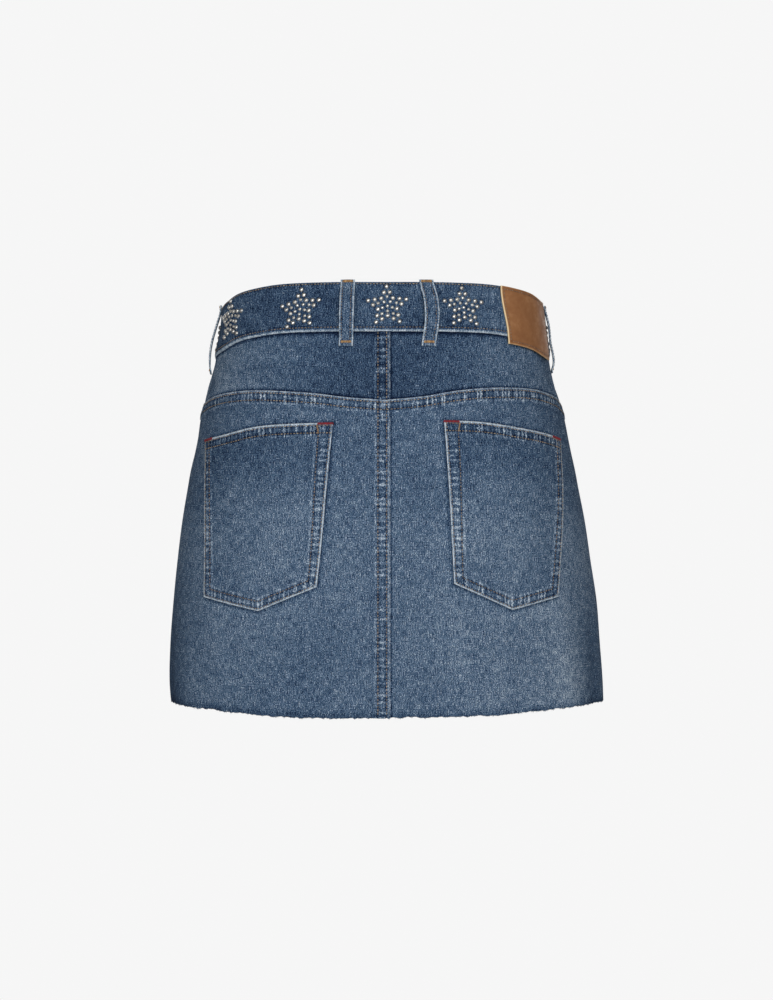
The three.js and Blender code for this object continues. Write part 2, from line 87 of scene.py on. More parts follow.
# Each pocket's outline, left (1) and right (-1): the panel under it needs it for the painted shadow beside
# it.
POCKET_TOP = {
    1: ([42, 75, 111, 146, 177], [-108.5, -109.0, -111.1, -117.3, -121.6]),
    -1: ([49, 80, 114, 151, 173], [-106.6, -107.4, -111.4, -116.6, -120.8]),
}
POCKET_INNER = {
    1: ([-100, -148, -206, -260], [42.2, 47, 52.2, 58.2]),
    -1: ([-100, -157, -206, -260], [49.6, 53.7, 56.4, 59.2]),
}
POCKET_OUTER = {
    1: ([-100, -148, -206, -260], [179.5, 171.5, 166.3, 163.9]),
    -1: ([-100, -157, -206, -260], [173.4, 170.4, 163.8, 154.6]),
}
POCKET_FOOT = {
    1: ([56.8, 107.9, 164.1], [-245.7, -266.4, -255.7]),
    -1: ([58.4, 109.4, 155.3], [-243.0, -265.4, -255.4]),
}
FOOT_SLOPE = 0.94  # cosine of the slope of a pocket's foot
CENTRE_BACK = -4.4
SIDE_SEAM = 0.51  # share of the way round from the centre back to the centre front
SEAM_GAP = 0.3
SEAM_LAP = 0.05  # how far sewn edges overlap, so that no slit shows
CLOTH = 1.3
RIDGE_BROAD = 10.5
RIDGE_SLOPE = 1.5
RIDGE_HIGH = 0.9
YOKE_SEWN = (1.9, 8.2)  # the two sewn lines' distances from a felled seam's folded edge
CENTRE_SEWN = (2.5, 9.8)
METRE = 0.001  # a millimetre, in metres


def curve(x, known, value):
    """Cubic Hermite through the points (known, value), each slope that of the points on either side."""
    known, value = np.array(known, float), np.array(value, float)
    if known[0] > known[-1]:
        known, x = -known, -np.asarray(x, float)
    x = np.clip(x, known[0], known[-1])
    last = len(known) - 1
    i = np.clip(np.searchsorted(known, x, side="right") - 1, 0, last - 1)
    before = np.maximum(np.arange(last + 1) - 1, 0)
    after = np.minimum(np.arange(last + 1) + 1, last)
    slope = (value[after] - value[before]) / (known[after] - known[before])
    span = known[i + 1] - known[i]
    t = (x - known[i]) / span
    return (
        value[i] * (1 + 2 * t) * (1 - t) ** 2 + value[i + 1] * t * t * (3 - 2 * t)
        + slope[i] * span * t * (1 - t) ** 2 + slope[i + 1] * span * t * t * (t - 1)
    )


def step(low, high, x):
    """0 below low, 1 above high, and 3t^2 - 2t^3 between them."""
    t = np.clip((x - low) / (high - low), 0, 1)
    return t * t * (3 - 2 * t)


def bell(x, half):
    """1 at x = 0, falling as exp(-(x / half)^2)."""
    return np.exp(-((x / half) ** 2))


def unit(vectors):
    return vectors / np.linalg.norm(vectors, axis=-1, keepdims=True)


def ring(side, z, angle):
    """Across and along of a rounded square ring: r = ((|sin|/half)^n + (|cos|/deep)^n)^(-1/n)."""
    half = np.where(side > 0, curve(z, FORM["z"], FORM["left"]), curve(z, FORM["z"], FORM["right"]))
    front, back = curve(z, FORM["z"], FORM["front"]), curve(z, FORM["z"], FORM["back"])
    deep = np.where(np.cos(angle) > 0, back, front)
    n = curve(z, FORM["z"], FORM["square"])
    far = ((np.abs(np.sin(angle)) / half) ** n + (np.abs(np.cos(angle)) / deep) ** n) ** (-1 / n)
    return far * np.sin(angle), far * np.cos(angle)


# The way round each side, worked out once: its half girth and angle at each height and share.
LEVEL_STEP = 2.0
LEVELS = np.arange(-366, 22, LEVEL_STEP)
SHARES = np.linspace(0, 1, 721)
way_angle, half_girth = {}, {}
for side in (1, -1):
    angles = np.linspace(0, np.pi, 1441)
    across, along = ring(side, LEVELS[:, None], angles[None, :])
    lengths = np.cumsum(np.hypot(np.diff(across, axis=1), np.diff(along, axis=1)), axis=1)
    lengths = np.pad(lengths, ((0, 0), (1, 0)))
    half_girth[side] = lengths[:, -1]
    way_angle[side] = np.array([np.interp(SHARES, row / row[-1], angles) for row in lengths])


def halfway(side, z):
    """The distance from the centre back to the centre front at a height."""
    return np.interp(z, LEVELS, half_girth[side])


def own_half(u, z):
    """The distance from the centre back to the centre front on the side where u lies."""
    return np.where(u < 0, halfway(-1, z), halfway(1, z))


def around(u, z):
    """Side and share of the way round for u, which past the centre front comes back on the other side."""
    side = np.where(u < 0, -1, 1)
    here = own_half(u, z)
    other = np.where(side > 0, halfway(-1, z), halfway(1, z))
    past = np.abs(u) > here
    share = np.where(past, 1 - (np.abs(u) - here) / other, np.abs(u) / here)
    return np.where(past, -side, side), share


def bare(u, z):
    """The point of the bare form at u and z, the angle read from the tables between four neighbours."""
    u, z = np.broadcast_arrays(np.asarray(u, float), np.asarray(z, float))
    side, share = around(u, z)
    level = np.clip((z - LEVELS[0]) / LEVEL_STEP, 0, len(LEVELS) - 1.001)
    place = np.clip(share * (len(SHARES) - 1), 0, len(SHARES) - 1.001)
    i, j = level.astype(int), place.astype(int)
    p, q = level - i, place - j
    angle = np.zeros(u.shape)
    for sign in (1, -1):
        table = way_angle[sign]
        here = (
            table[i, j] * (1 - p) * (1 - q) + table[i + 1, j] * p * (1 - q)
            + table[i, j + 1] * (1 - p) * q + table[i + 1, j + 1] * p * q
        )
        angle = np.where(side == sign, here, angle)
    across, along = ring(side, z, angle)
    return np.stack([side * across, along, z], axis=-1)


def outward(u, z):
    """Unit direction out of the form: the cross product of its slopes up and round."""
    round_it = bare(u + 1.5, z) - bare(u - 1.5, z)
    up = bare(u, np.asarray(z) + 1.5) - bare(u, np.asarray(z) - 1.5)
    return unit(np.cross(up, round_it))


def folded(u, z):
    """How far folds and creases move the cloth out: bell curves across each one, faded at its ends."""
    side, share = around(u, z)
    half = np.where(side > 0, halfway(1, z), halfway(-1, z))
    out = np.zeros(np.broadcast(u, z).shape)
    for at, breadth, rise, top in FOLDS:
        grown = rise * bell(share * half - abs(at) * half, breadth) * step(0, 1, (top - z) / (top + 355))
        out = out + np.where(side == math.copysign(1, at), grown, 0)
    signed = side * share * half
    for at_u, at_z, angle, long, broad, rise in CREASES:
        c, s = math.cos(math.radians(angle)), math.sin(math.radians(angle))
        lengthways = (signed - at_u) * s + (z - at_z) * c
        sideways = (signed - at_u) * c - (z - at_z) * s
        out = out + rise * bell(lengthways, long) * bell(sideways, broad)
    return out


def on_cloth(u, z, out):
    """The point of the cloth at u and z, in metres, lifted out of the form."""
    lift = (out + folded(u, z))[..., None]
    return (bare(u, z) + outward(u, z) * lift) * METRE


def yoke_seam(u):
    left = curve(np.abs(u), YOKE_SEAM["round"], YOKE_SEAM["left"])
    return np.where(u < 0, curve(np.abs(u), YOKE_SEAM["round"], YOKE_SEAM["right"]), left)


def hem(u):
    return curve(np.abs(u), HEM["round"], HEM["z"])


def side_seam(way, z):
    return way * SIDE_SEAM * halfway(way, z)


def pocket_inner(way, z):
    return curve(z, *POCKET_INNER[way])


def pocket_outer(way, z):
    return curve(z, *POCKET_OUTER[way])


def pocket_top(u):
    return np.where(u < 0, curve(np.abs(u), *POCKET_TOP[-1]), curve(np.abs(u), *POCKET_TOP[1]))


def pocket_foot(u):
    return np.where(u < 0, np.interp(np.abs(u), *POCKET_FOOT[-1]), np.interp(np.abs(u), *POCKET_FOOT[1]))


def pocket_edges(u, z):
    """Distances in from the pocket's inner side, its outer side and its foot, and down from its top."""
    inner = np.where(u < 0, pocket_inner(-1, z), pocket_inner(1, z))
    outer = np.where(u < 0, pocket_outer(-1, z), pocket_outer(1, z))
    return np.abs(u) - inner, outer - np.abs(u), (z - pocket_foot(u)) * FOOT_SLOPE, pocket_top(u) - z


def noise(x, seed):
    """Smooth noise from -1 to 1 along x: random heights at whole numbers, eased between them."""
    heights = np.random.default_rng(seed).uniform(-1, 1, 4096)
    i = np.floor(x).astype(int)
    t = x - i
    t = t * t * (3 - 2 * t)
    return heights[i % 4096] * (1 - t) + heights[(i + 1) % 4096] * t


def mottle(x, y, seed):
    """Smooth noise from -1 to 1 over a plane: random heights on a lattice, eased between them."""
    heights = np.random.default_rng(seed).uniform(-1, 1, (128, 128))
    i, j = np.floor(x).astype(int), np.floor(y).astype(int)
    p, q = x - i, y - j
    p, q = p * p * (3 - 2 * p), q * q * (3 - 2 * q)
    i, j = i % 128, j % 128
    k, m = (i + 1) % 128, (j + 1) % 128
    low = heights[i, j] * (1 - p) + heights[k, j] * p
    high = heights[i, m] * (1 - p) + heights[k, m] * p
    return low * (1 - q) + high * q


def ridge(away, broad=RIDGE_BROAD, slope=RIDGE_SLOPE, high=RIDGE_HIGH):
    """Lift of a folded seam allowance: flat from its folded edge, then down a soft slope at broad."""
    return high * (1 - step(broad - slope, broad, away))


def puckered(away, along, seed, sewn):
    """Lift of a sewn fold: it puffs and puckers between its sewn lines and dips under them."""
    middle, half = (sewn[0] + sewn[1]) / 2, (sewn[1] - sewn[0]) / 2
    between = bell(away - middle, half * 0.75)
    dips = bell(away - sewn[0], 0.8) + bell(away - sewn[1], 0.8)
    return between * (0.12 + 0.2 * noise(along / 2.6, seed)) - 0.14 * dips


def fade_and_shade(base, away, along, seed, sewn, pale=1.45, broad=1.15):
    """Wear of a sewn fold: pale at its folded edge, darker under the needle lines and between them,
    then a broken pale line and a soft painted shade where the fold ends underneath."""
    edge = np.clip(bell(away, broad) * (0.85 + 0.3 * noise(along / 1.9, seed)), 0, 1)
    between = step(sewn[0] - 1, sewn[0] + 0.6, away) - step(sewn[1] - 0.6, sewn[1] + 0.8, away)
    middle, half = (sewn[0] + sewn[1]) / 2, (sewn[1] - sewn[0]) / 2
    dips = bell(away - sewn[0], 0.9) + bell(away - sewn[1], 0.9)
    beyond = bell(away - sewn[1] - 2.0, 0.95) * (0.22 + 0.2 * noise(along / 2.6, seed + 2))
    puffed = 0.16 * bell(away - middle, 0.45 * half)
    # Painted shade: the last term darkens a soft line just past the fold's hidden ridge, where it steps
    # down.
    worn_and_shaded = base - 0.06 * between + puffed - 0.4 * dips + beyond - 0.08 * bell(away - sewn[1] - 4.6, 1.6)
    return worn_and_shaded + edge * (pale - worn_and_shaded)


def bars_across(away, sewn, share=1.0):
    """How strongly bars of pucker show across a sewn fold: over both sewn lines and a little past."""
    return share * (step(0.8, sewn[0] + 0.6, away) - step(sewn[1] + 0.2, sewn[1] + 3.4, away))


def stops(first, step_size, last, length):
    """Shares of a length: fine stops for its first and last stretches and even ones between them."""
    begin, end = first[-1], last[-1]
    count = max(2, int(round((length - begin - end) / step_size)))
    middle = np.linspace(begin, length - end, count + 1)
    return np.unique(np.concatenate([first, middle, length - np.array(last)])) / length


def grid_faces(across, down):
    """Quads of a grid of across by down points, a row after a row."""
    k = np.arange(down - 1)[:, None] * across + np.arange(across - 1)[None, :]
    return np.stack([k, k + across, k + across + 1, k + 1], axis=-1).reshape(-1, 4)


def make_mesh(name, points, quads):
    """A mesh object from arrays of points and of four-cornered faces."""
    mesh = bpy.data.meshes.new(name)
    mesh.vertices.add(len(points))
    mesh.vertices.foreach_set("co", np.asarray(points, np.float32).ravel())
    mesh.loops.add(quads.size)
    mesh.loops.foreach_set("vertex_index", np.ascontiguousarray(quads, np.int32).ravel())
    mesh.polygons.add(len(quads))
    mesh.polygons.foreach_set("loop_start", np.arange(0, quads.size, 4, dtype=np.int32))
    mesh.update(calc_edges=True)
    mesh.validate()
    mesh.polygons.foreach_set("use_smooth", np.full(len(mesh.polygons), True))
    thing = bpy.data.objects.new(name, mesh)
    bpy.context.scene.collection.objects.link(thing)
    return thing


def make_closed(name, points, quads):
    """A mesh of a closed surface, its quads all turned over if the volume that they close is minus."""
    a, b, c, d = (points[quads[:, k]] for k in range(4))
    volume = np.sum(a * np.cross(b, c)) + np.sum(a * np.cross(c, d))
    return make_mesh(name, points, quads if volume > 0 else quads[:, ::-1])


def add_attribute(thing, name, values):
    layer = thing.data.attributes.new(name, "FLOAT", "POINT")
    layer.data.foreach_set("value", np.asarray(values, np.float32).ravel())


def cloth_wall(name, start, end, top, bottom, columns, rows, under, over, wear_and_shade, bars=None):
    """A closed wall of cloth on a grid of columns and rows, given as shares of the piece's width and
    height. Its outer face lies at over and its inner face at under; its rim joins them. The wear
    attribute holds how far the cloth's fading has gone there, with painted shade and shadows added on
    some pieces; bars_u and bars_z say how strongly bars of pucker follow each other along u and along z,
    and the UV map is the cloth's own measures."""
    s, t = np.meshgrid(columns, rows)
    z = np.full(s.shape, float(top(start(0.0)) + bottom(start(0.0))) / 2)
    for _ in range(8):
        u = start(z) + s * (end(z) - start(z))
        z = top(u) + t * (bottom(u) - top(u))
    outer = on_cloth(u, z, over(u, z))
    inner = on_cloth(u, z, under(u, z))
    down, across = s.shape
    points = np.concatenate([outer.reshape(-1, 3), inner.reshape(-1, 3)])
    front = grid_faces(across, down)
    back = front[:, ::-1] + across * down
    rim = np.concatenate([
        np.arange(across - 1), np.arange(down - 1) * across + across - 1,
        (down - 1) * across + np.arange(across - 1, 0, -1), np.arange(down - 1, 0, -1) * across,
    ])
    after = np.roll(rim, -1)
    edge = np.stack([rim, after, after + across * down, rim + across * down], axis=-1)
    piece = make_closed(name, points, np.concatenate([front, back, edge]))
    # These values hold the cloth's fading and, on the panels, yokes and fronts, painted shade: shadows
    # beside lapped edges and under the band, a crease's shade and shade towards the sides.
    worn_and_shaded = wear_and_shade(u, z)
    add_attribute(piece, "wear_and_shade", np.concatenate([worn_and_shaded.ravel(), worn_and_shaded.ravel() - 0.1]))
    add_attribute(piece, "inner", np.concatenate([np.zeros(u.size), np.ones(u.size)]))
    if bars:
        for label, values in zip(("bars_u", "bars_z"), bars(u, z)):
            add_attribute(piece, label, np.concatenate([values.ravel(), 0 * values.ravel()]))
    measures = np.stack([np.tile(u.ravel(), 2), np.tile(z.ravel(), 2)], axis=-1) * METRE
    uv = piece.data.uv_layers.new(name="cloth")
    corner = np.zeros(len(piece.data.loops), np.int32)
    piece.data.loops.foreach_get("vertex_index", corner)
    uv.data.foreach_set("uv", measures[corner].astype(np.float32).ravel())
    return piece


def linear(*srgb):
    """A colour given as 0 to 255 in sRGB, as the linear numbers that a shader takes."""
    c = np.array(srgb, float) / 255
    low, high = c / 12.92, ((c + 0.055) / 1.055) ** 2.4
    return (*np.where(c <= 0.04045, low, high), 1.0)


def put_node(nodes, kind, second=None, **values):
    """A shader node of a kind, with the values of its properties and, by name, of its inputs. In a sum
    or product the second input has no name of its own, so second is its value."""
    node = nodes.new("ShaderNode" + kind)
    for name, value in values.items():
        if hasattr(node, name):
            setattr(node, name, value)
        else:
            node.inputs[name.replace("_", " ")].default_value = value
    if second is not None:
        node.inputs[1].default_value = second
    return node


def new_group(name, sockets):
    """An empty node group with its sockets, given as (name, in or out, kind), and its two end nodes."""
    group = bpy.data.node_groups.new(name, "ShaderNodeTree")
    for label, side, kind in sockets:
        group.interface.new_socket(name=label, in_out=side, socket_type="NodeSocket" + kind)
    return group, group.nodes.new("NodeGroupInput"), group.nodes.new("NodeGroupOutput")


def new_material(name, **values):
    """A material with its shader, whose plain inputs are set by name."""
    material = bpy.data.materials.new(name)
    material.use_nodes = True
    shader = material.node_tree.nodes["Principled BSDF"]
    for label, value in values.items():
        shader.inputs[label.replace("_", " ")].default_value = value
    return material, material.node_tree.nodes, material.node_tree.links, shader


def add_ramp(nodes, colours):
    """A colour ramp through (place, colour) pairs."""
    ramp = nodes.new("ShaderNodeValToRGB").color_ramp
    while len(ramp.elements) < len(colours):
        ramp.elements.new(0.5)
    for element, (place, colour) in zip(ramp.elements, colours):
        element.position = place
        element.color = colour
    return nodes[-1]


def yarn_grain():
    """Node group for woven yarn. Place is counted in yarn breadths. Tone is the sum of three noises
    about nought: flecks, upright streaks and soft blotches. Relief is a diagonal twill with flecks."""
    group, given, made = new_group("yarn grain", [
        ("Place", "INPUT", "Vector"), ("Fleck", "INPUT", "Float"), ("Streak", "INPUT", "Float"),
        ("Blotch", "INPUT", "Float"), ("Tone", "OUTPUT", "Float"), ("Relief", "OUTPUT", "Float"),
    ])
    nodes, links = group.nodes, group.links
    tone = None
    for label, scale, detail in (
        ("Fleck", (0.9, 0.5, 1), 2.5), ("Streak", (0.8, 0.09, 1), 2.5), ("Blotch", (0.09, 0.07, 1), 2),
    ):
        place = put_node(nodes, "Mapping", Scale=scale)
        cloud = put_node(nodes, "TexNoise", noise_dimensions="2D", Scale=1.0, Detail=detail)
        centred = put_node(nodes, "Math", 0.5, operation="SUBTRACT")
        gain = put_node(nodes, "Math", operation="MULTIPLY")
        links.new(given.outputs["Place"], place.inputs["Vector"])
        links.new(place.outputs[0], cloud.inputs["Vector"])
        links.new(cloud.outputs["Fac"], centred.inputs[0])
        links.new(centred.outputs[0], gain.inputs[0])
        links.new(given.outputs[label], gain.inputs[1])
        if label == "Fleck":
            fleck = cloud
        if tone is None:
            tone = gain
            continue
        total = put_node(nodes, "Math", operation="ADD")
        links.new(tone.outputs[0], total.inputs[0])
        links.new(gain.outputs[0], total.inputs[1])
        tone = total
    links.new(tone.outputs[0], made.inputs["Tone"])
    slant = put_node(nodes, "Mapping", Rotation=(0, 0, math.radians(58)), Scale=(0.62, 0.62, 1))
    twill = put_node(nodes, "TexWave", Scale=0.32, Distortion=1.2, Detail=1.0)
    both = put_node(nodes, "Math", operation="ADD")
    links.new(given.outputs["Place"], slant.inputs["Vector"])
    links.new(slant.outputs[0], twill.inputs["Vector"])
    links.new(twill.outputs["Fac"], both.inputs[0])
    links.new(fleck.outputs["Fac"], both.inputs[1])
    links.new(both.outputs[0], made.inputs["Relief"])
    return group


def seam_bars():
    """Node group for the puckers across a sewn seam. Along is the way along the seam, counted in bars;
    Bar is 1 on a bar and 0 between them, each bar with its own place and strength."""
    group, given, made = new_group("seam bars", [("Along", "INPUT", "Float"), ("Bar", "OUTPUT", "Float")])
    cells = put_node(group.nodes, "TexVoronoi", voronoi_dimensions="1D", Scale=1.0, Randomness=0.6)
    shape = put_node(
        group.nodes, "MapRange", interpolation_type="SMOOTHSTEP",
        From_Min=0.08, From_Max=0.3, To_Min=1.0, To_Max=0.0)
    strength = put_node(group.nodes, "MapRange", From_Min=0.2, From_Max=0.7, To_Min=0.25)
    product = put_node(group.nodes, "Math", operation="MULTIPLY")
    group.links.new(given.outputs["Along"], cells.inputs["W"])
    group.links.new(cells.outputs["Distance"], shape.inputs["Value"])
    group.links.new(cells.outputs["Color"], strength.inputs["Value"])
    group.links.new(shape.outputs["Result"], product.inputs[0])
    group.links.new(strength.outputs["Result"], product.inputs[1])
    group.links.new(product.outputs[0], made.inputs["Bar"])
    return group


YARN = yarn_grain()
BARS = seam_bars()
BAR_PITCH = (3.9, 5.0)  # of bars that follow each other along u and along z
BAR_GAIN = 0.85


def woven_material(name, yarn, fleck, streak, blotch, colours, inside, relief, roughness):
    """A material of woven cloth: the wear attribute, painted shade included, plus the yarn's tone and the
    bars of pucker picks a colour from dark to pale, the inner face mixes towards the colour of the cloth's
    back, and the weave and the bars give a fine bump."""
    material, nodes, links, shader = new_material(name, Roughness=roughness, Specular_IOR_Level=0.05)
    uv = put_node(nodes, "UVMap", uv_map="cloth")
    scale = put_node(nodes, "Mapping", Scale=(1 / (yarn * METRE), 1 / (yarn * METRE), 1))
    grain = put_node(nodes, "Group", node_tree=YARN, Fleck=fleck, Streak=streak, Blotch=blotch)
    wear_and_shade = put_node(nodes, "Attribute", attribute_name="wear_and_shade")
    inner = put_node(nodes, "Attribute", attribute_name="inner")
    total = put_node(nodes, "Math", operation="ADD")
    ramp = add_ramp(nodes, colours)
    fit = put_node(nodes, "MapRange", From_Max=1.5)
    mix = put_node(nodes, "Mix", data_type="RGBA")
    mix.inputs[7].default_value = inside
    share = put_node(nodes, "Math", 0.6, operation="MULTIPLY")
    bump = put_node(nodes, "Bump", Strength=0.5, Distance=relief * METRE)
    links.new(uv.outputs["UV"], scale.inputs["Vector"])
    links.new(scale.outputs[0], grain.inputs["Place"])
    tone = grain.outputs["Tone"]
    height = grain.outputs["Relief"]
    split = put_node(nodes, "SeparateXYZ")
    wobble = put_node(nodes, "TexNoise", noise_dimensions="2D", Scale=0.3)
    links.new(uv.outputs["UV"], split.inputs[0])
    links.new(scale.outputs[0], wobble.inputs["Vector"])
    for axis, label in enumerate(("bars_u", "bars_z")):
        along = put_node(nodes, "Math", 1 / (BAR_PITCH[axis] * METRE), operation="MULTIPLY_ADD")
        bars = put_node(nodes, "Group", node_tree=BARS)
        shown = put_node(nodes, "Attribute", attribute_name=label)
        centred = put_node(nodes, "Math", 0.3, operation="SUBTRACT")
        gained = put_node(nodes, "Math", BAR_GAIN, operation="MULTIPLY")
        product = put_node(nodes, "Math", operation="MULTIPLY_ADD")
        raised = put_node(nodes, "Math", operation="MULTIPLY_ADD")
        links.new(split.outputs[axis], along.inputs[0])
        links.new(wobble.outputs["Fac"], along.inputs[2])
        links.new(along.outputs[0], bars.inputs["Along"])
        links.new(bars.outputs["Bar"], centred.inputs[0])
        links.new(centred.outputs[0], gained.inputs[0])
        links.new(gained.outputs[0], product.inputs[0])
        links.new(shown.outputs["Fac"], product.inputs[1])
        links.new(tone, product.inputs[2])
        links.new(gained.outputs[0], raised.inputs[0])
        links.new(shown.outputs["Fac"], raised.inputs[1])
        links.new(height, raised.inputs[2])
        tone, height = product.outputs[0], raised.outputs[0]
    links.new(wear_and_shade.outputs["Fac"], total.inputs[0])
    links.new(tone, total.inputs[1])
    links.new(total.outputs[0], fit.inputs["Value"])
    links.new(fit.outputs["Result"], ramp.inputs["Fac"])
    links.new(ramp.outputs["Color"], mix.inputs[6])
    links.new(inner.outputs["Fac"], share.inputs[0])
    links.new(share.outputs[0], mix.inputs[0])
    links.new(mix.outputs[2], shader.inputs["Base Color"])
    links.new(height, bump.inputs["Height"])
    links.new(bump.outputs["Normal"], shader.inputs["Normal"])
    return material


DENIM = woven_material(
    "washed denim", yarn=0.55, fleck=2.7, streak=1.4, blotch=0.4,
    colours=[
        (0.0, linear(10, 22, 44)), (0.23, linear(50, 70, 98)), (0.47, linear(78, 102, 130)),
        (0.6, linear(98, 122, 147)), (0.78, linear(150, 168, 186)), (1.0, linear(214, 224, 232)),
    ],
    inside=linear(124, 140, 156), relief=0.3, roughness=1.0,
)


def fasten(piece, material, slot, *nodes):
    """Gives a piece its material, lets it ride on the skirt, and shows it for its solids. Its slot argument
    is not used.
    """
    piece.data.materials.append(material)
    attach(piece, "root")
    if nodes:
        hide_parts(*nodes)


def wash_and_side_shade(u, z):
    """How pale the garment's washing left the cloth: paler in the middle of the seat and low on the right,
    darker towards the side seams and over the hips, partly the garment's own colour and partly painted
    shade where the cloth turns away to the sides, with broad soft patches, and paler where folds and
    creases lift the cloth and darker where they sink."""
    share = np.abs(u) / own_half(u, z)
    # Partly painted shade: the darkening of the sides stands in part for the shade where the cloth turns
    # away.
    dark = 0.05 + 0.12 * step(-215, -265, z)
    middle = 0.71 - dark * step(0.27, 0.46, share) * (1 - step(0.62, 0.8, share))
    return (
        middle - 0.09 * step(-205, -165, z) + 0.15 * step(-140, -300, z) * step(-20, -150, u)
        - 0.05 * step(-255, -300, z)
        + 0.045 * mottle(u / 34 + 40, z / 42 + 40, 11) + 0.035 * mottle(u / 11 + 60, z / 14 + 60, 12)
        + 0.07 * folded(u, z)
    )


PANEL_FINE = np.arange(0, 14.5, 1.0)


def side_fade(u, z):
    """Wear along a side seam: a dark line in it and a pale one on either side."""
    side = np.abs(np.abs(u) - SIDE_SEAM * own_half(u, z))
    return 0.2 * bell(side - 2, 1.4) - 0.35 * bell(side, 0.8)


def centre_fade_and_shadow(worn_and_shaded, beside, z, seed, shade):
    """Wear at the centre back: the fades of its felled seam, and a painted shadow beside the folded edge.
    """
    felled = fade_and_shade(worn_and_shaded, beside, z, seed, CENTRE_SEWN, 1.6, 1.3)
    # Painted shadow: a dark line just right of the folded edge, as strong as shade.
    return np.where(beside > 0, felled, worn_and_shaded - shade * bell(beside + 0.7, 1.1))


def panel_wear_and_shade(u, z):
    """Wear of a back panel: the garment's washing, the fades of its two felled seams, the painted shadows
    that the centre back's folded edge and the pocket leave beside them, and a hem a little darker than the
    rest."""
    beside = u - CENTRE_BACK
    pocket = np.minimum.reduce(pocket_edges(u, z))
    # The last argument is the strength of a painted shadow beside the centre back's folded edge.
    worn_and_shaded = centre_fade_and_shadow(wash_and_side_shade(u, z) + side_fade(u, z), beside, z, 21, 0.6)
    worn_and_shaded = fade_and_shade(worn_and_shaded, yoke_seam(u) - z, u, 22, YOKE_SEWN)
    worn_and_shaded = worn_and_shaded + 0.5 * bell(beside - 3.5, 3) * bell(z - yoke_seam(u) + 4, 3.5)
    # Painted shadow: a dark line just outside the pocket's edges.
    worn_and_shaded = worn_and_shaded - 0.4 * bell(pocket + 0.9, 1.3) * (pocket < 1)
    return worn_and_shaded - 0.26 * bell(z - hem(u), 4)


def panel_bars(u, z):
    """Where puckers cross the yoke seam, along u, and the centre back seam, along z."""
    below = yoke_seam(u) - z
    on_yoke = bars_across(below, YOKE_SEWN, 0.9 + 0.3 * noise(u / 21, 26))
    return on_yoke, bars_across(u - CENTRE_BACK, CENTRE_SEWN, 0.75) * step(9, 13, below)


def panel_over(u, z):
    """Outer face of a back panel: the cloth, its ridges along both felled seams, and their puckers."""
    beside, below = u - CENTRE_BACK, yoke_seam(u) - z
    across = np.where(beside > 0, ridge(beside), 0)
    down = ridge(below)
    pucker = np.where(beside > 0, puckered(beside, z, 21, CENTRE_SEWN), 0) * (across >= down)
    return CLOTH + np.maximum(across, down) + pucker + puckered(below, u, 22, YOKE_SEWN) * (down > 0)


def flat_under(u, z):
    return np.zeros(np.shape(u))


def hem_cut(u):
    """The raw edge, in small uneven scallops where the weft has worked loose."""
    return hem(u) - 1.1 * step(-20, 60, u) + 0.7 * noise(u / 1.9, 24) + 0.35 * noise(u / 5, 25)


for side, way in (("left", 1), ("right", -1)):
    panel = cloth_wall(
        f"cloth_back_panel_{side}",
        start=lambda z, way=way: CENTRE_BACK - way * SEAM_LAP + 0 * z,
        end=lambda z, way=way: side_seam(way, z) + way * SEAM_LAP,
        top=lambda u: yoke_seam(u) + SEAM_LAP, bottom=hem_cut,
        columns=stops(PANEL_FINE, 2.0, [0, 1, 2.5, 4], 235),
        rows=stops(PANEL_FINE, 2.1, [0, 1, 2, 3.2], 270),
        under=flat_under, over=panel_over, wear_and_shade=panel_wear_and_shade, bars=panel_bars,
    )
    fasten(panel, DENIM, "denim", f"back_panel_{side}")

# Sewing of the body seams
# Golden-brown thread, one stitch after another about every 2.8 mm, each pulled down into the cloth at
# its ends. Two rows hold each felled seam.

PITCH = 2.8
STITCH = 0.66  # share of the pitch
THREAD = 0.4  # radius
FINE_PITCH = 2.6
FINE_THREAD = 0.34
THREAD_POINTS = 24  # of each stitch's mesh, four rings of six


def spokes(aside, raised, sides):
    """Directions from the middle of a ring to its points, from aside round through raised."""
    turn = np.arange(sides) * 2 * np.pi / sides
    return aside[..., None, :] * np.cos(turn)[:, None] + raised[..., None, :] * np.sin(turn)[:, None]


def tube_faces(sides, rings):
    """Quads between each ring of points and the next."""
    first = np.arange(rings - 1)[:, None] * sides
    here = first + np.arange(sides)
    after = first + (np.arange(sides) + 1) % sides
    return np.stack([here, after, after + sides, here + sides], axis=-1).reshape(-1, 4)


def rods(begin, finish, out, radius, arch, sunk):
    """Short threads as closed six-sided rods from begin to finish, arrays of points in metres. Each is
    a row of four rings, thin at both ends, that rises by arch in its middle and starts sunk below."""
    t = np.array([0, 0.22, 0.78, 1.0])
    thin = np.array([0.45, 1, 1, 0.45])
    centre = begin[:, None] + (finish - begin)[:, None] * t[None, :, None]
    lift = (np.sin(np.pi * t) * arch - sunk * (1 - np.sin(np.pi * t))) * METRE
    centre = centre + out[:, None] * lift[None, :, None]
    along = unit(finish - begin)
    aside = unit(np.cross(out, along))
    spoke = spokes(aside, np.cross(along, aside), 6)
    points = centre[:, :, None] + spoke[:, None] * (thin * radius * METRE)[None, :, None, None]
    caps = np.array([[0, 3, 2, 1], [0, 5, 4, 3], [18, 19, 20, 21], [18, 21, 22, 23]])
    each = np.concatenate([tube_faces(6, 4), caps])
    quads = (np.arange(len(begin))[:, None, None] * THREAD_POINTS + each).reshape(-1, 4)
    return points.reshape(-1, 3), quads


def threads(name, begin, finish, out, shape, tones, material, slot):
    """One piece of short threads, each with its own tone. The shape is their radius, arch and sunk."""
    piece = make_closed(name, *rods(begin, finish, out, *shape))
    add_attribute(piece, "tone", np.repeat(tones, THREAD_POINTS))
    fasten(piece, material, slot)


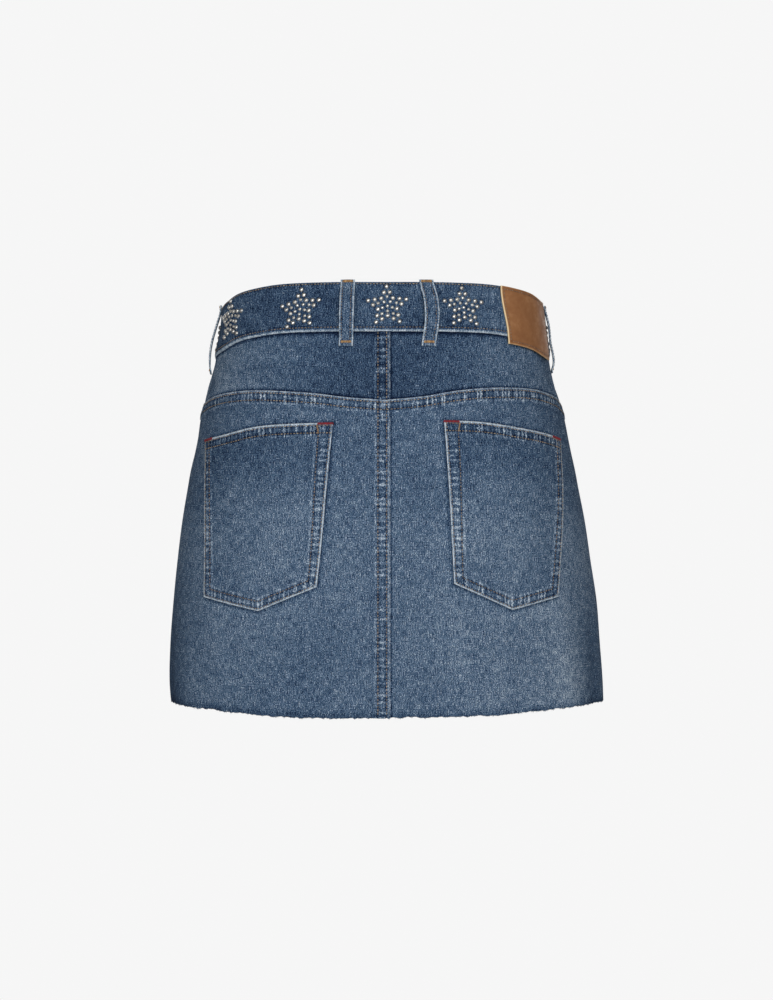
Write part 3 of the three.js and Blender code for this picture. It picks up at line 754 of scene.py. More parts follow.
def along_line(u, z, over, pitch, seed):
    """Where the stitches of one sewn line begin and finish, and which way is out there, worked out by
    the line's length, with small random slips in each place."""
    path = on_cloth(u, z, over(u, z)) / METRE
    length = np.pad(np.cumsum(np.linalg.norm(np.diff(path, axis=0), axis=1)), (1, 0))
    count = int(length[-1] / pitch)
    first = (np.arange(count) + 0.1) * length[-1] / count
    first = first + np.random.default_rng(seed).uniform(-0.12, 0.12, count)
    ends = []
    for at in (first, first + pitch * STITCH):
        here = np.clip(at, 0, length[-1])
        ends.append(np.stack([np.interp(here, length, path[:, k]) for k in range(3)], axis=-1) * METRE)
    out = outward(np.interp(first, length, u), np.interp(first, length, z))
    return ends[0], ends[1], out


def sew(name, lines, material, pitch=PITCH, radius=THREAD):
    """One piece with the stitches of several sewn lines, each line (u, z, over) along the cloth."""
    rows = [along_line(u, z, over, pitch, 700 + k) for k, (u, z, over) in enumerate(lines)]
    begin, finish, out = (np.concatenate(part) for part in zip(*rows))
    tones = np.random.default_rng(len(begin)).uniform(0, 1, len(begin))
    threads(name, begin, finish, out, (radius, 0.26, 0.16), tones, material, "thread")


def thread_material(name, dark, light):
    """Twisted thread: each stitch takes its own tone between two colours, with a fine twist as bump."""
    material, nodes, links, shader = new_material(name, Roughness=0.62, Specular_IOR_Level=0.35)
    tone = put_node(nodes, "Attribute", attribute_name="tone")
    place = put_node(nodes, "TexCoord")
    cloud = put_node(nodes, "TexNoise", Scale=1400.0, Detail=1.0)
    total = put_node(nodes, "Math", 0.6, operation="MULTIPLY_ADD")
    ramp = add_ramp(nodes, [(0.15, dark), (0.85, light)])
    bump = put_node(nodes, "Bump", Strength=0.5, Distance=0.00012)
    links.new(place.outputs["Object"], cloud.inputs["Vector"])
    links.new(tone.outputs["Fac"], total.inputs[0])
    links.new(cloud.outputs["Fac"], total.inputs[2])
    fit = put_node(nodes, "MapRange", From_Min=0.3, From_Max=1.3)
    links.new(total.outputs[0], fit.inputs["Value"])
    links.new(fit.outputs["Result"], ramp.inputs["Fac"])
    links.new(ramp.outputs["Color"], shader.inputs["Base Color"])
    links.new(cloud.outputs["Fac"], bump.inputs["Height"])
    links.new(bump.outputs["Normal"], shader.inputs["Normal"])
    return material


GOLDEN = thread_material("golden thread", linear(80, 73, 63), linear(182, 164, 136))
BROWN = thread_material("brown thread", linear(84, 76, 68), linear(160, 144, 124))
DENSE = np.linspace(0, 1, 400)


def between(first, last):
    return first + (last - first) * DENSE


seams = []
for distance in CENTRE_SEWN:
    z = between(-89.5, -353)
    seams.append((CENTRE_BACK + distance + 0 * z, z, panel_over))
for way in (1, -1):
    for distance in YOKE_SEWN:
        u = CENTRE_BACK + way * (0.5 + 196.5 * DENSE)
        z = yoke_seam(u) - distance
        seams.append((u, z, panel_over))
sew("stitching_back_seams", seams, GOLDEN)

# Back yokes
# The yoke is two shaped pieces of the same denim above the panels. The waistband holds its top edge
# and the panels' folded edge laps over its lower one.

WAISTLINE = {
    "round": [0, 50, 88, 110, 135, 155, 175, 200, 260, 400],
    "z": [12.6, 12.7, 12, 10, 6.2, 0.8, -2.4, -4.4, -9.5, -15],
}
BAND_HEIGHT = 42.6


def waistline(u):
    return curve(np.abs(u), WAISTLINE["round"], WAISTLINE["z"])


def band_bottom(u):
    return waistline(u) - BAND_HEIGHT


def yoke_over(u, z):
    beside = u - CENTRE_BACK
    seam = np.where(beside > 0, ridge(beside) + puckered(beside, z, 31, CENTRE_SEWN), 0)
    return CLOTH + seam + 0.12 * bell(z - yoke_seam(u), 3) * noise(u / 2.6, 32)


def yoke_wear_and_shade(u, z):
    """Wear of the yoke: dark in the middle, painted shadows under the band, above the panel's edge and
    beside the centre back's, painted shade in a crease under the left side loop, pale towards the wearer's
    left, and paler where creases lift the cloth and darker where they sink."""
    beside = u - CENTRE_BACK
    worn_and_shaded = 0.39 + 0.14 * step(30, 90, u) + 0.22 * step(80, 165, u) + 0.26 * step(-40, -130, u)
    worn_and_shaded = worn_and_shaded + 0.16 * folded(u, z)
    worn_and_shaded = worn_and_shaded + 0.05 * mottle(u / 30 + 30, z / 26 + 30, 33) + 0.035 * mottle(u / 10 + 30, z / 12 + 30, 34)
    # The last argument is the strength of a painted shadow beside the centre back's folded edge.
    worn_and_shaded = centre_fade_and_shadow(worn_and_shaded, beside, z, 31, 0.8)
    # Painted shadows: a dark line under the band's foot and one just above the panel's folded edge.
    worn_and_shaded = worn_and_shaded - 0.7 * bell(z - band_bottom(u) + 0.8, 1.5) - 0.6 * bell(z - yoke_seam(u) - 0.6, 1.3)
    # Painted shade: the last term is a dark patch in the crease under the left side loop.
    return worn_and_shaded + 0.04 * step(90, 130, u) - 0.4 * bell(u - 183, 9) * bell(z + 74, 8)


def yoke_bars(u, z):
    """Where puckers show: a little above the yoke seam, along u, and on the centre back seam."""
    above = 0.3 * (1 - step(1, 4, z - yoke_seam(u)))
    return above, bars_across(u - CENTRE_BACK, CENTRE_SEWN, 0.9)


for side, way in (("left", 1), ("right", -1)):
    yoke = cloth_wall(
        f"cloth_back_yoke_{side}",
        start=lambda z, way=way: CENTRE_BACK - way * SEAM_LAP + 0 * z,
        end=lambda z, way=way: side_seam(way, z) + way * SEAM_LAP,
        top=lambda u: band_bottom(u) + SEAM_LAP, bottom=lambda u: yoke_seam(u) - SEAM_LAP,
        columns=stops(PANEL_FINE, 2.0, [0, 1, 2.5, 4], 200), rows=stops([0, 1, 2], 1.8, [0, 1, 2, 3.5], 52),
        under=flat_under, over=yoke_over, wear_and_shade=yoke_wear_and_shade, bars=yoke_bars,
    )
    fasten(yoke, DENIM, "denim", f"back_yoke_{side}")
    flat, area = ((0.205, 0.067), 0.0107) if way > 0 else ((0.205, 0.062), 0.0098)

z = between(-30, -88)
seams = [(CENTRE_BACK + distance + 0 * z, z, yoke_over) for distance in CENTRE_SEWN]
sew("stitching_yoke_seam", seams, GOLDEN)

# Front panels
# Two panels join the back ones at plain side seams. At the centre front the left one carries the fly:
# its folded edge laps over the right one as far as a curved double row of stitches.

FLY_REACH = 12.0
FLY_RAMP = 20.0
FLY_LONG = 98.0
FLY_CORNER = 8.0
FLY_FADE = 12.0
FLY_SEWN = (1.9, 7.5)
fly_top = float(band_bottom(halfway(1, 0.0)) - SEAM_GAP)
fly_foot = fly_top - FLY_LONG


def front_top(u):
    return band_bottom(u) + SEAM_LAP


def fly_edge(z):
    return halfway(1, z) + SEAM_LAP + FLY_REACH * step(fly_foot, fly_foot + FLY_CORNER, z)


def fly_lift(u, z):
    """The left front rises over the right one above the fly's foot."""
    half = halfway(1, z)
    above = step(fly_foot - FLY_FADE, fly_foot, z)
    return (CLOTH + SEAM_GAP) * above * step(half - FLY_RAMP, half - 3, u)


def left_front_over(u, z):
    away = fly_edge(z) - u
    below = 1 - step(fly_foot - 2, fly_foot + 8, z)
    felled = (0.5 * ridge(away) / RIDGE_HIGH + puckered(away, z, 41, FLY_SEWN)) * below
    return fly_lift(u, z) + CLOTH + felled + 0.1 * bell(away - 3, 2) * noise(z / 2.4, 42)


def right_front_over(u, z):
    return CLOTH + 0.0 * u


def front_wear_and_shade(u, z):
    """Wear of the front: the garment's washing, pale thighs, the fades of the side and centre seams and
    hem, and a painted shadow under the band.
    """
    share = np.abs(u) / own_half(u, z)
    thighs = 0.14 * bell(share - 0.78, 0.12) * step(-90, -180, z)
    edge = np.where(u > 0, fly_edge(z) - u, 60)
    worn_and_shaded = fade_and_shade(wash_and_side_shade(u, z) - 0.06 + thighs + side_fade(u, z), edge, z, 41, FLY_SEWN)
    # Painted shadow: a dark line just under the waistband's foot.
    worn_and_shaded = worn_and_shaded - 0.4 * bell(z - front_top(u), 1.6)
    return worn_and_shaded - 0.26 * bell(z - hem(u), 4)


def left_front_bars(u, z):
    """Where puckers cross the fly's folded edge and the centre front seam, along z."""
    return 0 * u, bars_across(fly_edge(z) - u, FLY_SEWN, 0.7)


FRONT_ROWS = stops([0, 1, 2], 2.2, [0, 1, 2, 3.2], 300)
left_front = cloth_wall(
    "cloth_front_panel_left",
    start=lambda z: side_seam(1, z) - SEAM_LAP, end=fly_edge,
    top=front_top, bottom=hem_cut, columns=stops([0, 1, 2.5], 2.1, PANEL_FINE, 205), rows=FRONT_ROWS,
    under=fly_lift, over=left_front_over, wear_and_shade=front_wear_and_shade, bars=left_front_bars,
)
fasten(left_front, DENIM, "denim", "front_panel_left")
right_front = cloth_wall(
    "cloth_front_panel_right",
    start=lambda z: side_seam(-1, z) + SEAM_LAP, end=lambda z: -halfway(-1, z) - SEAM_LAP,
    top=front_top, bottom=hem_cut, columns=stops([0, 1, 2.5], 2.1, [0, 1, 3], 205), rows=FRONT_ROWS,
    under=flat_under, over=right_front_over, wear_and_shade=front_wear_and_shade,
)
fasten(right_front, DENIM, "denim", "front_panel_right")

seams = []
for distance in FLY_SEWN:
    z = fly_foot - 4 + (-350 - fly_foot + 4) * DENSE
    seams.append((fly_edge(z) - distance, z, left_front_over))
z = fly_top - 1 - (FLY_LONG - FLY_CORNER - 2) * DENSE
seams.append((fly_edge(z) - 2.2, z, left_front_over))
for inset in (0, 6):
    # Down beside the fly, then round a quarter ellipse to the centre front.
    straight = fly_top - 1 - (FLY_LONG - 34) * DENSE
    turn = np.linspace(0, np.pi / 2, 120)
    z = np.concatenate([straight, straight[-1] - (30 - inset) * np.sin(turn)])
    broad = np.concatenate([np.ones(len(straight)), np.cos(turn)]) * (26 - inset)
    seams.append((halfway(1, z) - 2 - broad, z, left_front_over))
sew("stitching_fly", seams, GOLDEN)

# Zip
# A dark blue tape with closed metal teeth, sewn behind the fly. Its slider is up under the waistband's
# lap and out of sight.

ZIP_WIDTH = 26.0
ZIP_THICK = 1.2
ZIP_TOP = -58.0
ZIP_BOTTOM = -160.0
TAPE = woven_material(
    "zip tape", yarn=0.5, fleck=0.5, streak=0.6, blotch=0.2,
    colours=[(0.0, linear(14, 20, 34)), (0.5, linear(30, 38, 56)), (1.0, linear(60, 68, 86))],
    inside=linear(24, 30, 46), relief=0.2, roughness=0.8,
)
tape = cloth_wall(
    "zip_tape",
    start=lambda z: halfway(1, z) - ZIP_WIDTH / 2, end=lambda z: halfway(1, z) + ZIP_WIDTH / 2,
    top=lambda u: ZIP_TOP + 0 * u, bottom=lambda u: ZIP_BOTTOM + 0 * u,
    columns=np.linspace(0, 1, 27), rows=np.linspace(0, 1, 52),
    under=lambda u, z: -SEAM_GAP - ZIP_THICK + 0 * u, over=lambda u, z: -SEAM_GAP + 0 * u,
    wear_and_shade=lambda u, z: 0.6 + 0.1 * noise(u / 1.5, 44),
)
fasten(tape, TAPE, "zip_tape", "fly_zip")


def scuffing():
    """Node group for handled metal and leather: Place is in metres, Mark is cloudy scuffing from 0 to 1."""
    group, given, made = new_group("scuffing", [
        ("Place", "INPUT", "Vector"), ("Size", "INPUT", "Float"), ("Mark", "OUTPUT", "Float"),
    ])
    cloud = put_node(group.nodes, "TexNoise", Detail=5.0, Roughness=0.65)
    spread = put_node(group.nodes, "MapRange", From_Min=0.35, From_Max=0.68)
    group.links.new(given.outputs["Place"], cloud.inputs["Vector"])
    group.links.new(given.outputs["Size"], cloud.inputs["Scale"])
    group.links.new(cloud.outputs["Fac"], spread.inputs["Value"])
    group.links.new(spread.outputs["Result"], made.inputs["Mark"])
    return group


SCUFF = scuffing()


def metal_material(name, dark, light, smooth, rough, size):
    """Plated metal: cloudy tarnish moves its colour and its gloss between two values."""
    material, nodes, links, shader = new_material(name, Metallic=1.0)
    place = put_node(nodes, "TexCoord")
    scuff = put_node(nodes, "Group", node_tree=SCUFF, Size=size)
    ramp = add_ramp(nodes, [(0.0, dark), (1.0, light)])
    gloss = put_node(nodes, "MapRange", To_Min=rough, To_Max=smooth)
    links.new(place.outputs["Object"], scuff.inputs["Place"])
    links.new(scuff.outputs["Mark"], ramp.inputs["Fac"])
    links.new(scuff.outputs["Mark"], gloss.inputs["Value"])
    links.new(ramp.outputs["Color"], shader.inputs["Base Color"])
    links.new(gloss.outputs["Result"], shader.inputs["Roughness"])
    return material


SILVER = metal_material("polished silver", linear(176, 168, 156), linear(232, 226, 216), 0.16, 0.34, 420.0)

tooth_z = np.arange(ZIP_BOTTOM + 4, ZIP_TOP - 1, 0.95)
lean = np.where(np.arange(len(tooth_z)) % 2 == 0, 1, -1)
tooth_u = halfway(1, tooth_z)
tooth_out = outward(tooth_u, tooth_z)
tooth_under = np.full(len(tooth_z), -SEAM_GAP - ZIP_THICK - 0.25)
begin = on_cloth(tooth_u - lean * 0.7, tooth_z, tooth_under)
finish = on_cloth(tooth_u + lean * 2.3, tooth_z, tooth_under)
teeth = make_closed("zip_teeth", *rods(begin, finish, -tooth_out, 0.42, 0.1, 0.0))
fasten(teeth, SILVER, "silver_metal")

# Waistband
# One folded double strip of the same denim, closed in by a row of stitches along each edge. Its left
# end laps over the right one at the centre front, where a buttonhole is worked through it.

BAND_CLOTH = 3.0
LAP = 20.0
LAP_RAMP = 26.0
BAND_SEWN_TOP = 1.6
BAND_SEWN_FOOT = 3.5
BAND_SEWN_PAST = 17  # how far its sewn lines go past the centre front
BUTTON_DROP = 20.4
BUTTONHOLE_LONG = 19.0
BUTTONHOLE_BROAD = 4.0
BUTTONHOLE_STITCHES = 90

button_z = float(waistline(halfway(1, 0.0)) - BUTTON_DROP)
button_u = float(halfway(1, button_z))


def band_lift(u, z):
    """The lap lifts only the band's left end, on and past the centre front."""
    clear = halfway(1, z) - LAP
    return (BAND_CLOTH + SEAM_GAP) * step(clear - LAP_RAMP, clear - 2, u)


def band_over(u, z):
    """Outer face of the band: rounded folded edges, dips along its sewn lines with puckers between
    them and the edges, a soft uneven swell in the middle, and the slit of the buttonhole."""
    down, up = waistline(u) - z, z - band_bottom(u)
    rounded = 0.75 * (1 - step(0, 1.6, np.minimum(down, up)))
    dips = 0.28 * bell(down - BAND_SEWN_TOP, 0.9) + 0.28 * bell(up - BAND_SEWN_FOOT, 0.9)
    pucker = 0.14 * noise(u / 2.2, 51) * bell(down - 4.2, 2.2)
    pucker = pucker + 0.16 * noise(u / 2.4, 52) * bell(up - 6, 2.6)
    swell = 0.22 * mottle(u / 22 + 50, z / 12 + 50, 53)
    slit = 1.6 * (1 - step(0.4, 0.9, np.abs(z - button_z))) * (
        1 - step(BUTTONHOLE_LONG / 2 - 0.4, BUTTONHOLE_LONG / 2, np.abs(u - button_u)))
    return band_lift(u, z) + BAND_CLOTH - rounded - dips + pucker + swell - slit


def band_wear(u, z):
    """Wear of the band: pale folded edges, the lower one the paler, dark needle lines and soft patches."""
    down, up = waistline(u) - z, z - band_bottom(u)
    fade = 0.4 + 0.13 * step(-40, -100, u) + 0.04 * step(80, 150, u)
    patches = 0.09 * mottle(u / 22 + 50, z / 12 + 50, 53) + 0.07 * mottle(u / 8 + 50, z / 8 + 50, 56)
    scratch = 0.5 * bell(u + 93.5 - 0.06 * (z + 4), 0.7) * bell(z + 4, 8)
    dips = -0.3 * bell(down - BAND_SEWN_TOP, 0.9) - 0.34 * bell(up - BAND_SEWN_FOOT, 1.0)
    worn_and_shaded = fade + patches + scratch + dips + 0.12 * folded(u, z)
    upper = np.clip(bell(down, 0.6) * (0.7 + 0.4 * noise(u / 1.8, 54)), 0, 1)
    lower = np.clip(bell(up - 0.5, 1.15) * (0.9 + 0.25 * noise(u / 2.1, 55)), 0, 1)
    return worn_and_shaded + upper * (0.9 - worn_and_shaded) + lower * (1.42 - worn_and_shaded)


def band_bars(u, z):
    """Where puckers show, along u: under the upper sewn line and over the lower one."""
    down, up = waistline(u) - z, z - band_bottom(u)
    upper = 0.28 * (step(0.6, 1.6, down) - step(3.5, 8, down))
    lower = 0.34 * (step(1.4, 3, up) - step(5, 10, up))
    return upper + lower, 0 * u


band = cloth_wall(
    "cloth_waistband",
    start=lambda z: -halfway(-1, z) - LAP, end=lambda z: halfway(1, z) + LAP,
    top=waistline, bottom=band_bottom,
    columns=stops([0, 1, 2], 1.6, [0, 1, 2], 800),
    rows=stops([0, 0.6, 1.3, 2.1, 3], 1.4, [0, 0.7, 1.6, 2.6], BAND_HEIGHT),
    under=band_lift, over=band_over, wear_and_shade=band_wear, bars=band_bars,
)
fasten(band, DENIM, "denim", "waistband")

u = np.linspace(-395, 412, 1600)
u = u[(u > -halfway(-1, 0.0) - BAND_SEWN_PAST) & (u < halfway(1, 0.0) + BAND_SEWN_PAST)]
sew("stitching_band_top", [(u, waistline(u) - BAND_SEWN_TOP, band_over)], GOLDEN)
sew("stitching_band_foot", [(u, band_bottom(u) + BAND_SEWN_FOOT, band_over)], BROWN)

turn = np.linspace(0, 2 * np.pi, BUTTONHOLE_STITCHES, endpoint=False)
for_u = button_u + (BUTTONHOLE_LONG / 2 + 0.6) * np.cos(turn)
for_z = button_z + BUTTONHOLE_BROAD / 2 * np.sin(turn)
hole_out = outward(for_u, for_z)
begin = on_cloth(for_u, for_z, band_over(for_u, for_z))
near_u = button_u + (BUTTONHOLE_LONG / 2 - 1.0) * np.cos(turn)
near_z = button_z + (BUTTONHOLE_BROAD / 2 - 1.3) * np.sin(turn)
worked = on_cloth(near_u, near_z, band_over(for_u, for_z))
tones = noise(np.arange(float(BUTTONHOLE_STITCHES)), 57) / 2 + 0.5
threads("buttonhole_stitches", begin, worked, hole_out, (0.3, 0.25, 0.1), tones, GOLDEN, "thread")

# Button
# A cast metal button on a shank through the buttonhole: a raised rim, a sunk ring and a plain crown.

BUTTON_OUTLINE = np.array([
    (0.05, 3.4), (2.6, 3.45), (2.7, 3.6), (7.2, 3.6), (8.2, 3.9), (8.5, 4.5), (8.4, 5.2), (7.9, 5.75),
    (7.2, 5.9), (6.6, 5.75), (6.1, 5.3), (5.5, 5.15), (4.9, 5.3), (4.5, 5.45), (3.4, 5.6), (1.8, 5.72),
    (0.05, 5.75),
])
seat = on_cloth(np.array(button_u), np.array(button_z), np.array(BAND_CLOTH + SEAM_GAP))
axis = outward(np.array(button_u), np.array(button_z))
aside = unit(np.cross(axis, (0, 0, 1.0)))
spoke = spokes(aside, np.cross(aside, axis), 48)
points = seat + (
    spoke[None] * BUTTON_OUTLINE[:, 0, None, None] + axis * BUTTON_OUTLINE[:, 1, None, None]
) * METRE
rings = len(BUTTON_OUTLINE)
pairs = np.arange(1, 24)
lid = np.stack([pairs - 1, pairs, 47 - pairs, 48 - pairs], axis=-1)
quads = np.concatenate([tube_faces(48, rings), lid[:, ::-1], lid + (rings - 1) * 48])
button = make_closed("band_button", points.reshape(-1, 3), quads)
fasten(button, SILVER, "silver_metal", "waist_button")

# Back pockets
# Patch pockets of the same denim, turned in all round and sewn on with two rows of thread. Their hemmed
# tops have a frayed white edge, and red bar tacks hold the corners.

POCKET_SEAT = CLOTH + SEAM_GAP
POCKET_SEWN = (1.7, 7.6)
POCKET_HEM_SEWN = (1.9, 8.2)
POCKET_HEM = 9.8
POCKET_BROAD = 9.8
TACK_LONG = 13.0
POCKET_FINE = np.arange(0, 12.5, 0.9)


def inner_row(z):
    """The second sewn line's distance from the inner side: it closes in on it downwards."""
    return 7.2 + 4.2 * step(-262, -104, z)


def pocket_over(u, z):
    """Outer face of a pocket: the ridge of its turned-in edges and hem, with puckers along the rows."""
    inner, outer, foot, hemmed = pocket_edges(u, z)
    inside = np.minimum(np.minimum(inner, outer), foot)
    turned = np.maximum(ridge(inside, POCKET_BROAD, 1.4, 0.5), ridge(hemmed, POCKET_HEM, 1.4, 0.6))
    sides = np.where(
        inner < outer, puckered(inner, z, 61, (POCKET_SEWN[0], inner_row(z))),
        puckered(outer, z, 62, POCKET_SEWN))
    sides = np.where(foot < np.minimum(inner, outer), puckered(foot, u, 63, POCKET_SEWN), sides)
    tops = puckered(hemmed, u, 64, POCKET_HEM_SEWN)
    near_top = 1 - step(8, 12, hemmed)
    baggy = 0.5 * bell(z + 190, 60) * step(10, 40, inside)
    return POCKET_SEAT + CLOTH + turned + sides * (1 - near_top) + tops * near_top + baggy


def pocket_wear_and_shade(u, z):
    """Wear of a pocket: dark under its hem, paler down to the foot, rubbed white along its edges, and a
    soft painted shade past each sewn fold's hidden ridge.
    """
    inner, outer, foot, hemmed = pocket_edges(u, z)
    body = 0.485 + 0.24 * step(-125, -195, z) - 0.05 * step(-205, -250, z)
    body = body - 0.05 * step(100, 160, np.abs(u)) + 0.03 * (u < 0)
    body = body + 0.05 * mottle(u / 22 + 70, z / 26 + 70, 65) + 0.04 * mottle(u / 9 + 70, z / 11 + 70, 66)
    point = np.where(u < 0, POCKET_FOOT[-1][0][1], POCKET_FOOT[1][0][1])
    body = body + 0.5 * bell(np.abs(u) - point, 2.2) * bell(foot - 6.5, 3)
    sides = np.where(
        inner < outer, fade_and_shade(body, inner, z, 61, (POCKET_SEWN[0], inner_row(z))),
        fade_and_shade(body, outer, z, 62, POCKET_SEWN))
    sides = np.where(foot < np.minimum(inner, outer), fade_and_shade(body, foot, u, 63, POCKET_SEWN), sides)
    tops = fade_and_shade(body, hemmed, u, 64, POCKET_HEM_SEWN, 1.8, 1.7)
    near_top = 1 - step(9.5, 13, hemmed)
    worn_and_shaded = sides * (1 - near_top) + tops * near_top
    edge = bell(np.minimum(np.minimum(inner, outer), foot), 1.1)
    return worn_and_shaded + edge * (np.maximum(worn_and_shaded, 1.45) - worn_and_shaded)


def pocket_bars(u, z):
    """Where puckers show: along u on the hem and the foot, along z down both sides."""
    inner, outer, foot, hemmed = pocket_edges(u, z)
    on_foot = foot < np.minimum(inner, outer)
    sides = bars_across(np.minimum(inner, outer), POCKET_SEWN, 0.7)
    on_hem = bars_across(hemmed, POCKET_HEM_SEWN, 0.95)
    return np.maximum(on_hem, np.where(on_foot, bars_across(foot, POCKET_SEWN, 0.9), 0)), (
        np.where(on_foot, 0, sides) * step(9, 13, hemmed))


def pocket_line(way, number):
    """One sewn line down a pocket's inner side, along its foot and up its outer side."""
    distance = POCKET_SEWN[number]
    z = np.arange(-104.0, -275.0, -0.5)
    inset = inner_row(z) if number else distance
    inner, outer = way * (pocket_inner(way, z) + inset), way * (pocket_outer(way, z) - distance)
    down = (z < pocket_top(inner) - 1.2) & (z > pocket_foot(inner) + distance / FOOT_SLOPE)
    up = (z < pocket_top(outer) - 1.2) & (z > pocket_foot(outer) + distance / FOOT_SLOPE)
    along = np.linspace(inner[down][-1], outer[up][-1], 300)
    u = np.concatenate([inner[down], along, outer[up][::-1]])
    z = np.concatenate([z[down], pocket_foot(along) + distance / FOOT_SLOPE, z[up][::-1]])
    return u, z, pocket_over


def bar_tack(at_u, at_z, angle, long, broad, over, spacing=0.42):
    """The threads of a bar tack, a close zigzag along a bar, as begin, finish and out."""
    count = int(long / spacing)
    along = np.linspace(-long / 2, long / 2, count)
    sway = np.where(np.arange(count) % 2 == 0, 1, -1) * spacing / 2
    c, s = math.cos(math.radians(angle)), math.sin(math.radians(angle))
    ends = []
    for half in (-broad / 2, broad / 2):
        x, y = along + sway * np.sign(half), np.full(count, half)
        ends.append((at_u + x * c - y * s, at_z + x * s + y * c))
    middle_u, middle_z = at_u + along * c, at_z + along * s
    begin, finish = (on_cloth(u, z, over(middle_u, middle_z)) for u, z in ends)
    return begin, finish, outward(middle_u, middle_z)


def tack(name, bars, material, slot, radius=FINE_THREAD):
    """One piece with the threads of several bar tacks."""
    begin, finish, out = (np.concatenate(part) for part in zip(*bars))
    tones = noise(np.arange(float(len(begin))), 67) / 2 + 0.5
    threads(name, begin, finish, out, (radius, 0.4, 0.05), tones, material, slot)


def pocket_rise(u, z):
    return np.full(np.shape(u), POCKET_SEAT + CLOTH + 0.55)


RED = thread_material("red thread", linear(94, 24, 34), linear(158, 46, 56))
ORANGE = thread_material("orange thread", linear(116, 86, 56), linear(206, 166, 112))

pocket_seams, hem_seams, red_bars, orange_bars = [], [], [], []
for side, way in (("left", 1), ("right", -1)):
    pocket = cloth_wall(
        f"cloth_back_pocket_{side}",
        start=lambda z, way=way: way * pocket_inner(way, z),
        end=lambda z, way=way: way * pocket_outer(way, z),
        top=pocket_top, bottom=pocket_foot,
        columns=stops(POCKET_FINE, 2.0, POCKET_FINE, 118), rows=stops(POCKET_FINE, 2.0, POCKET_FINE, 146),
        under=lambda u, z: POCKET_SEAT + 0 * u, over=pocket_over, wear_and_shade=pocket_wear_and_shade, bars=pocket_bars,
    )
    fasten(pocket, DENIM, "denim", f"back_pocket_{side}")
    flat, area = ((0.136, 0.158), 0.0169) if way > 0 else ((0.126, 0.16), 0.016)
    for number in (0, 1):
        pocket_seams.append(pocket_line(way, number))
    first, last = POCKET_TOP[way][0][0] + 0.8, POCKET_TOP[way][0][-1] - 1.2
    for distance in POCKET_HEM_SEWN:
        u = way * np.linspace(first + 1, last - 1, 300)
        hem_seams.append((u, pocket_top(u) - distance, pocket_over))
    for at in (way * (first + TACK_LONG / 2), way * (last - TACK_LONG / 2)):
        angle = math.degrees(math.atan(float(pocket_top(at + 3) - pocket_top(at - 3)) / 6))
        red_bars.append(bar_tack(at, float(pocket_top(at)) - 0.4, angle, TACK_LONG, 2.1, pocket_rise))
    at = way * (first + TACK_LONG)
    orange_bars.append(bar_tack(at, float(pocket_top(at)) - 5.2, 80 * way, 6.4, 1.1, pocket_over))
sew("stitching_pockets", pocket_seams, BROWN)
sew("stitching_pocket_hems", hem_seams, GOLDEN)
tack("bar_tacks_red", red_bars, RED, "red_thread")
tack("bar_tacks_pocket", orange_bars, ORANGE, "thread", 0.26)

# Belt loops
# Six folded strips of denim, each with two rows of thread, tacked at the band's top edge and below its
# foot. They stand off the band between their tacks, so that a belt passes behind.

LOOP_WIDTH = 12.0
LOOP_ROW = 3.7  # from its middle to each sewn row
LOOP_CLOTH = 1.3
# How far a loop's inside stands off at each distance below its top, an even bulge or a low one.
EVEN = ([0, 5, 14, 24, 34, 43, 49, 57], [0, 0.2, 4.8, 6, 5.6, 2.2, -1.1, -1.4])
LOW = ([0, 6.5, 16.5, 25.5, 34.5, 46, 54, 59.5, 61.5], [0, 0.2, 2.4, 3.6, 4.0, 3.2, 1.5, -0.6, -1.4])
LOW_CLOSE = ([0, 5, 17, 26, 33, 41, 48, 52, 57, 59.5], [0, 0.2, 1.5, 1.3, 1.0, 1.6, 1.7, 1.0, -1.1, -1.4])
# Side, way round, bow to one side, height above the band, length and stand-off.
LOOPS = {
    "back_left": (1, 30.8, 0, 1.6, 57.0, EVEN), "back_right": (-1, 35.2, 3.4, 1.6, 57.0, EVEN),
    "side_left": (1, 189, 0, 3.1, 61.5, LOW), "side_right": (-1, 187, 0, 2.4, 59.5, LOW_CLOSE),
    "front_left": (1, 328, 0, 1.6, 57.0, EVEN), "front_right": (-1, 326, 0.8, 1.6, 57.0, EVEN),
}

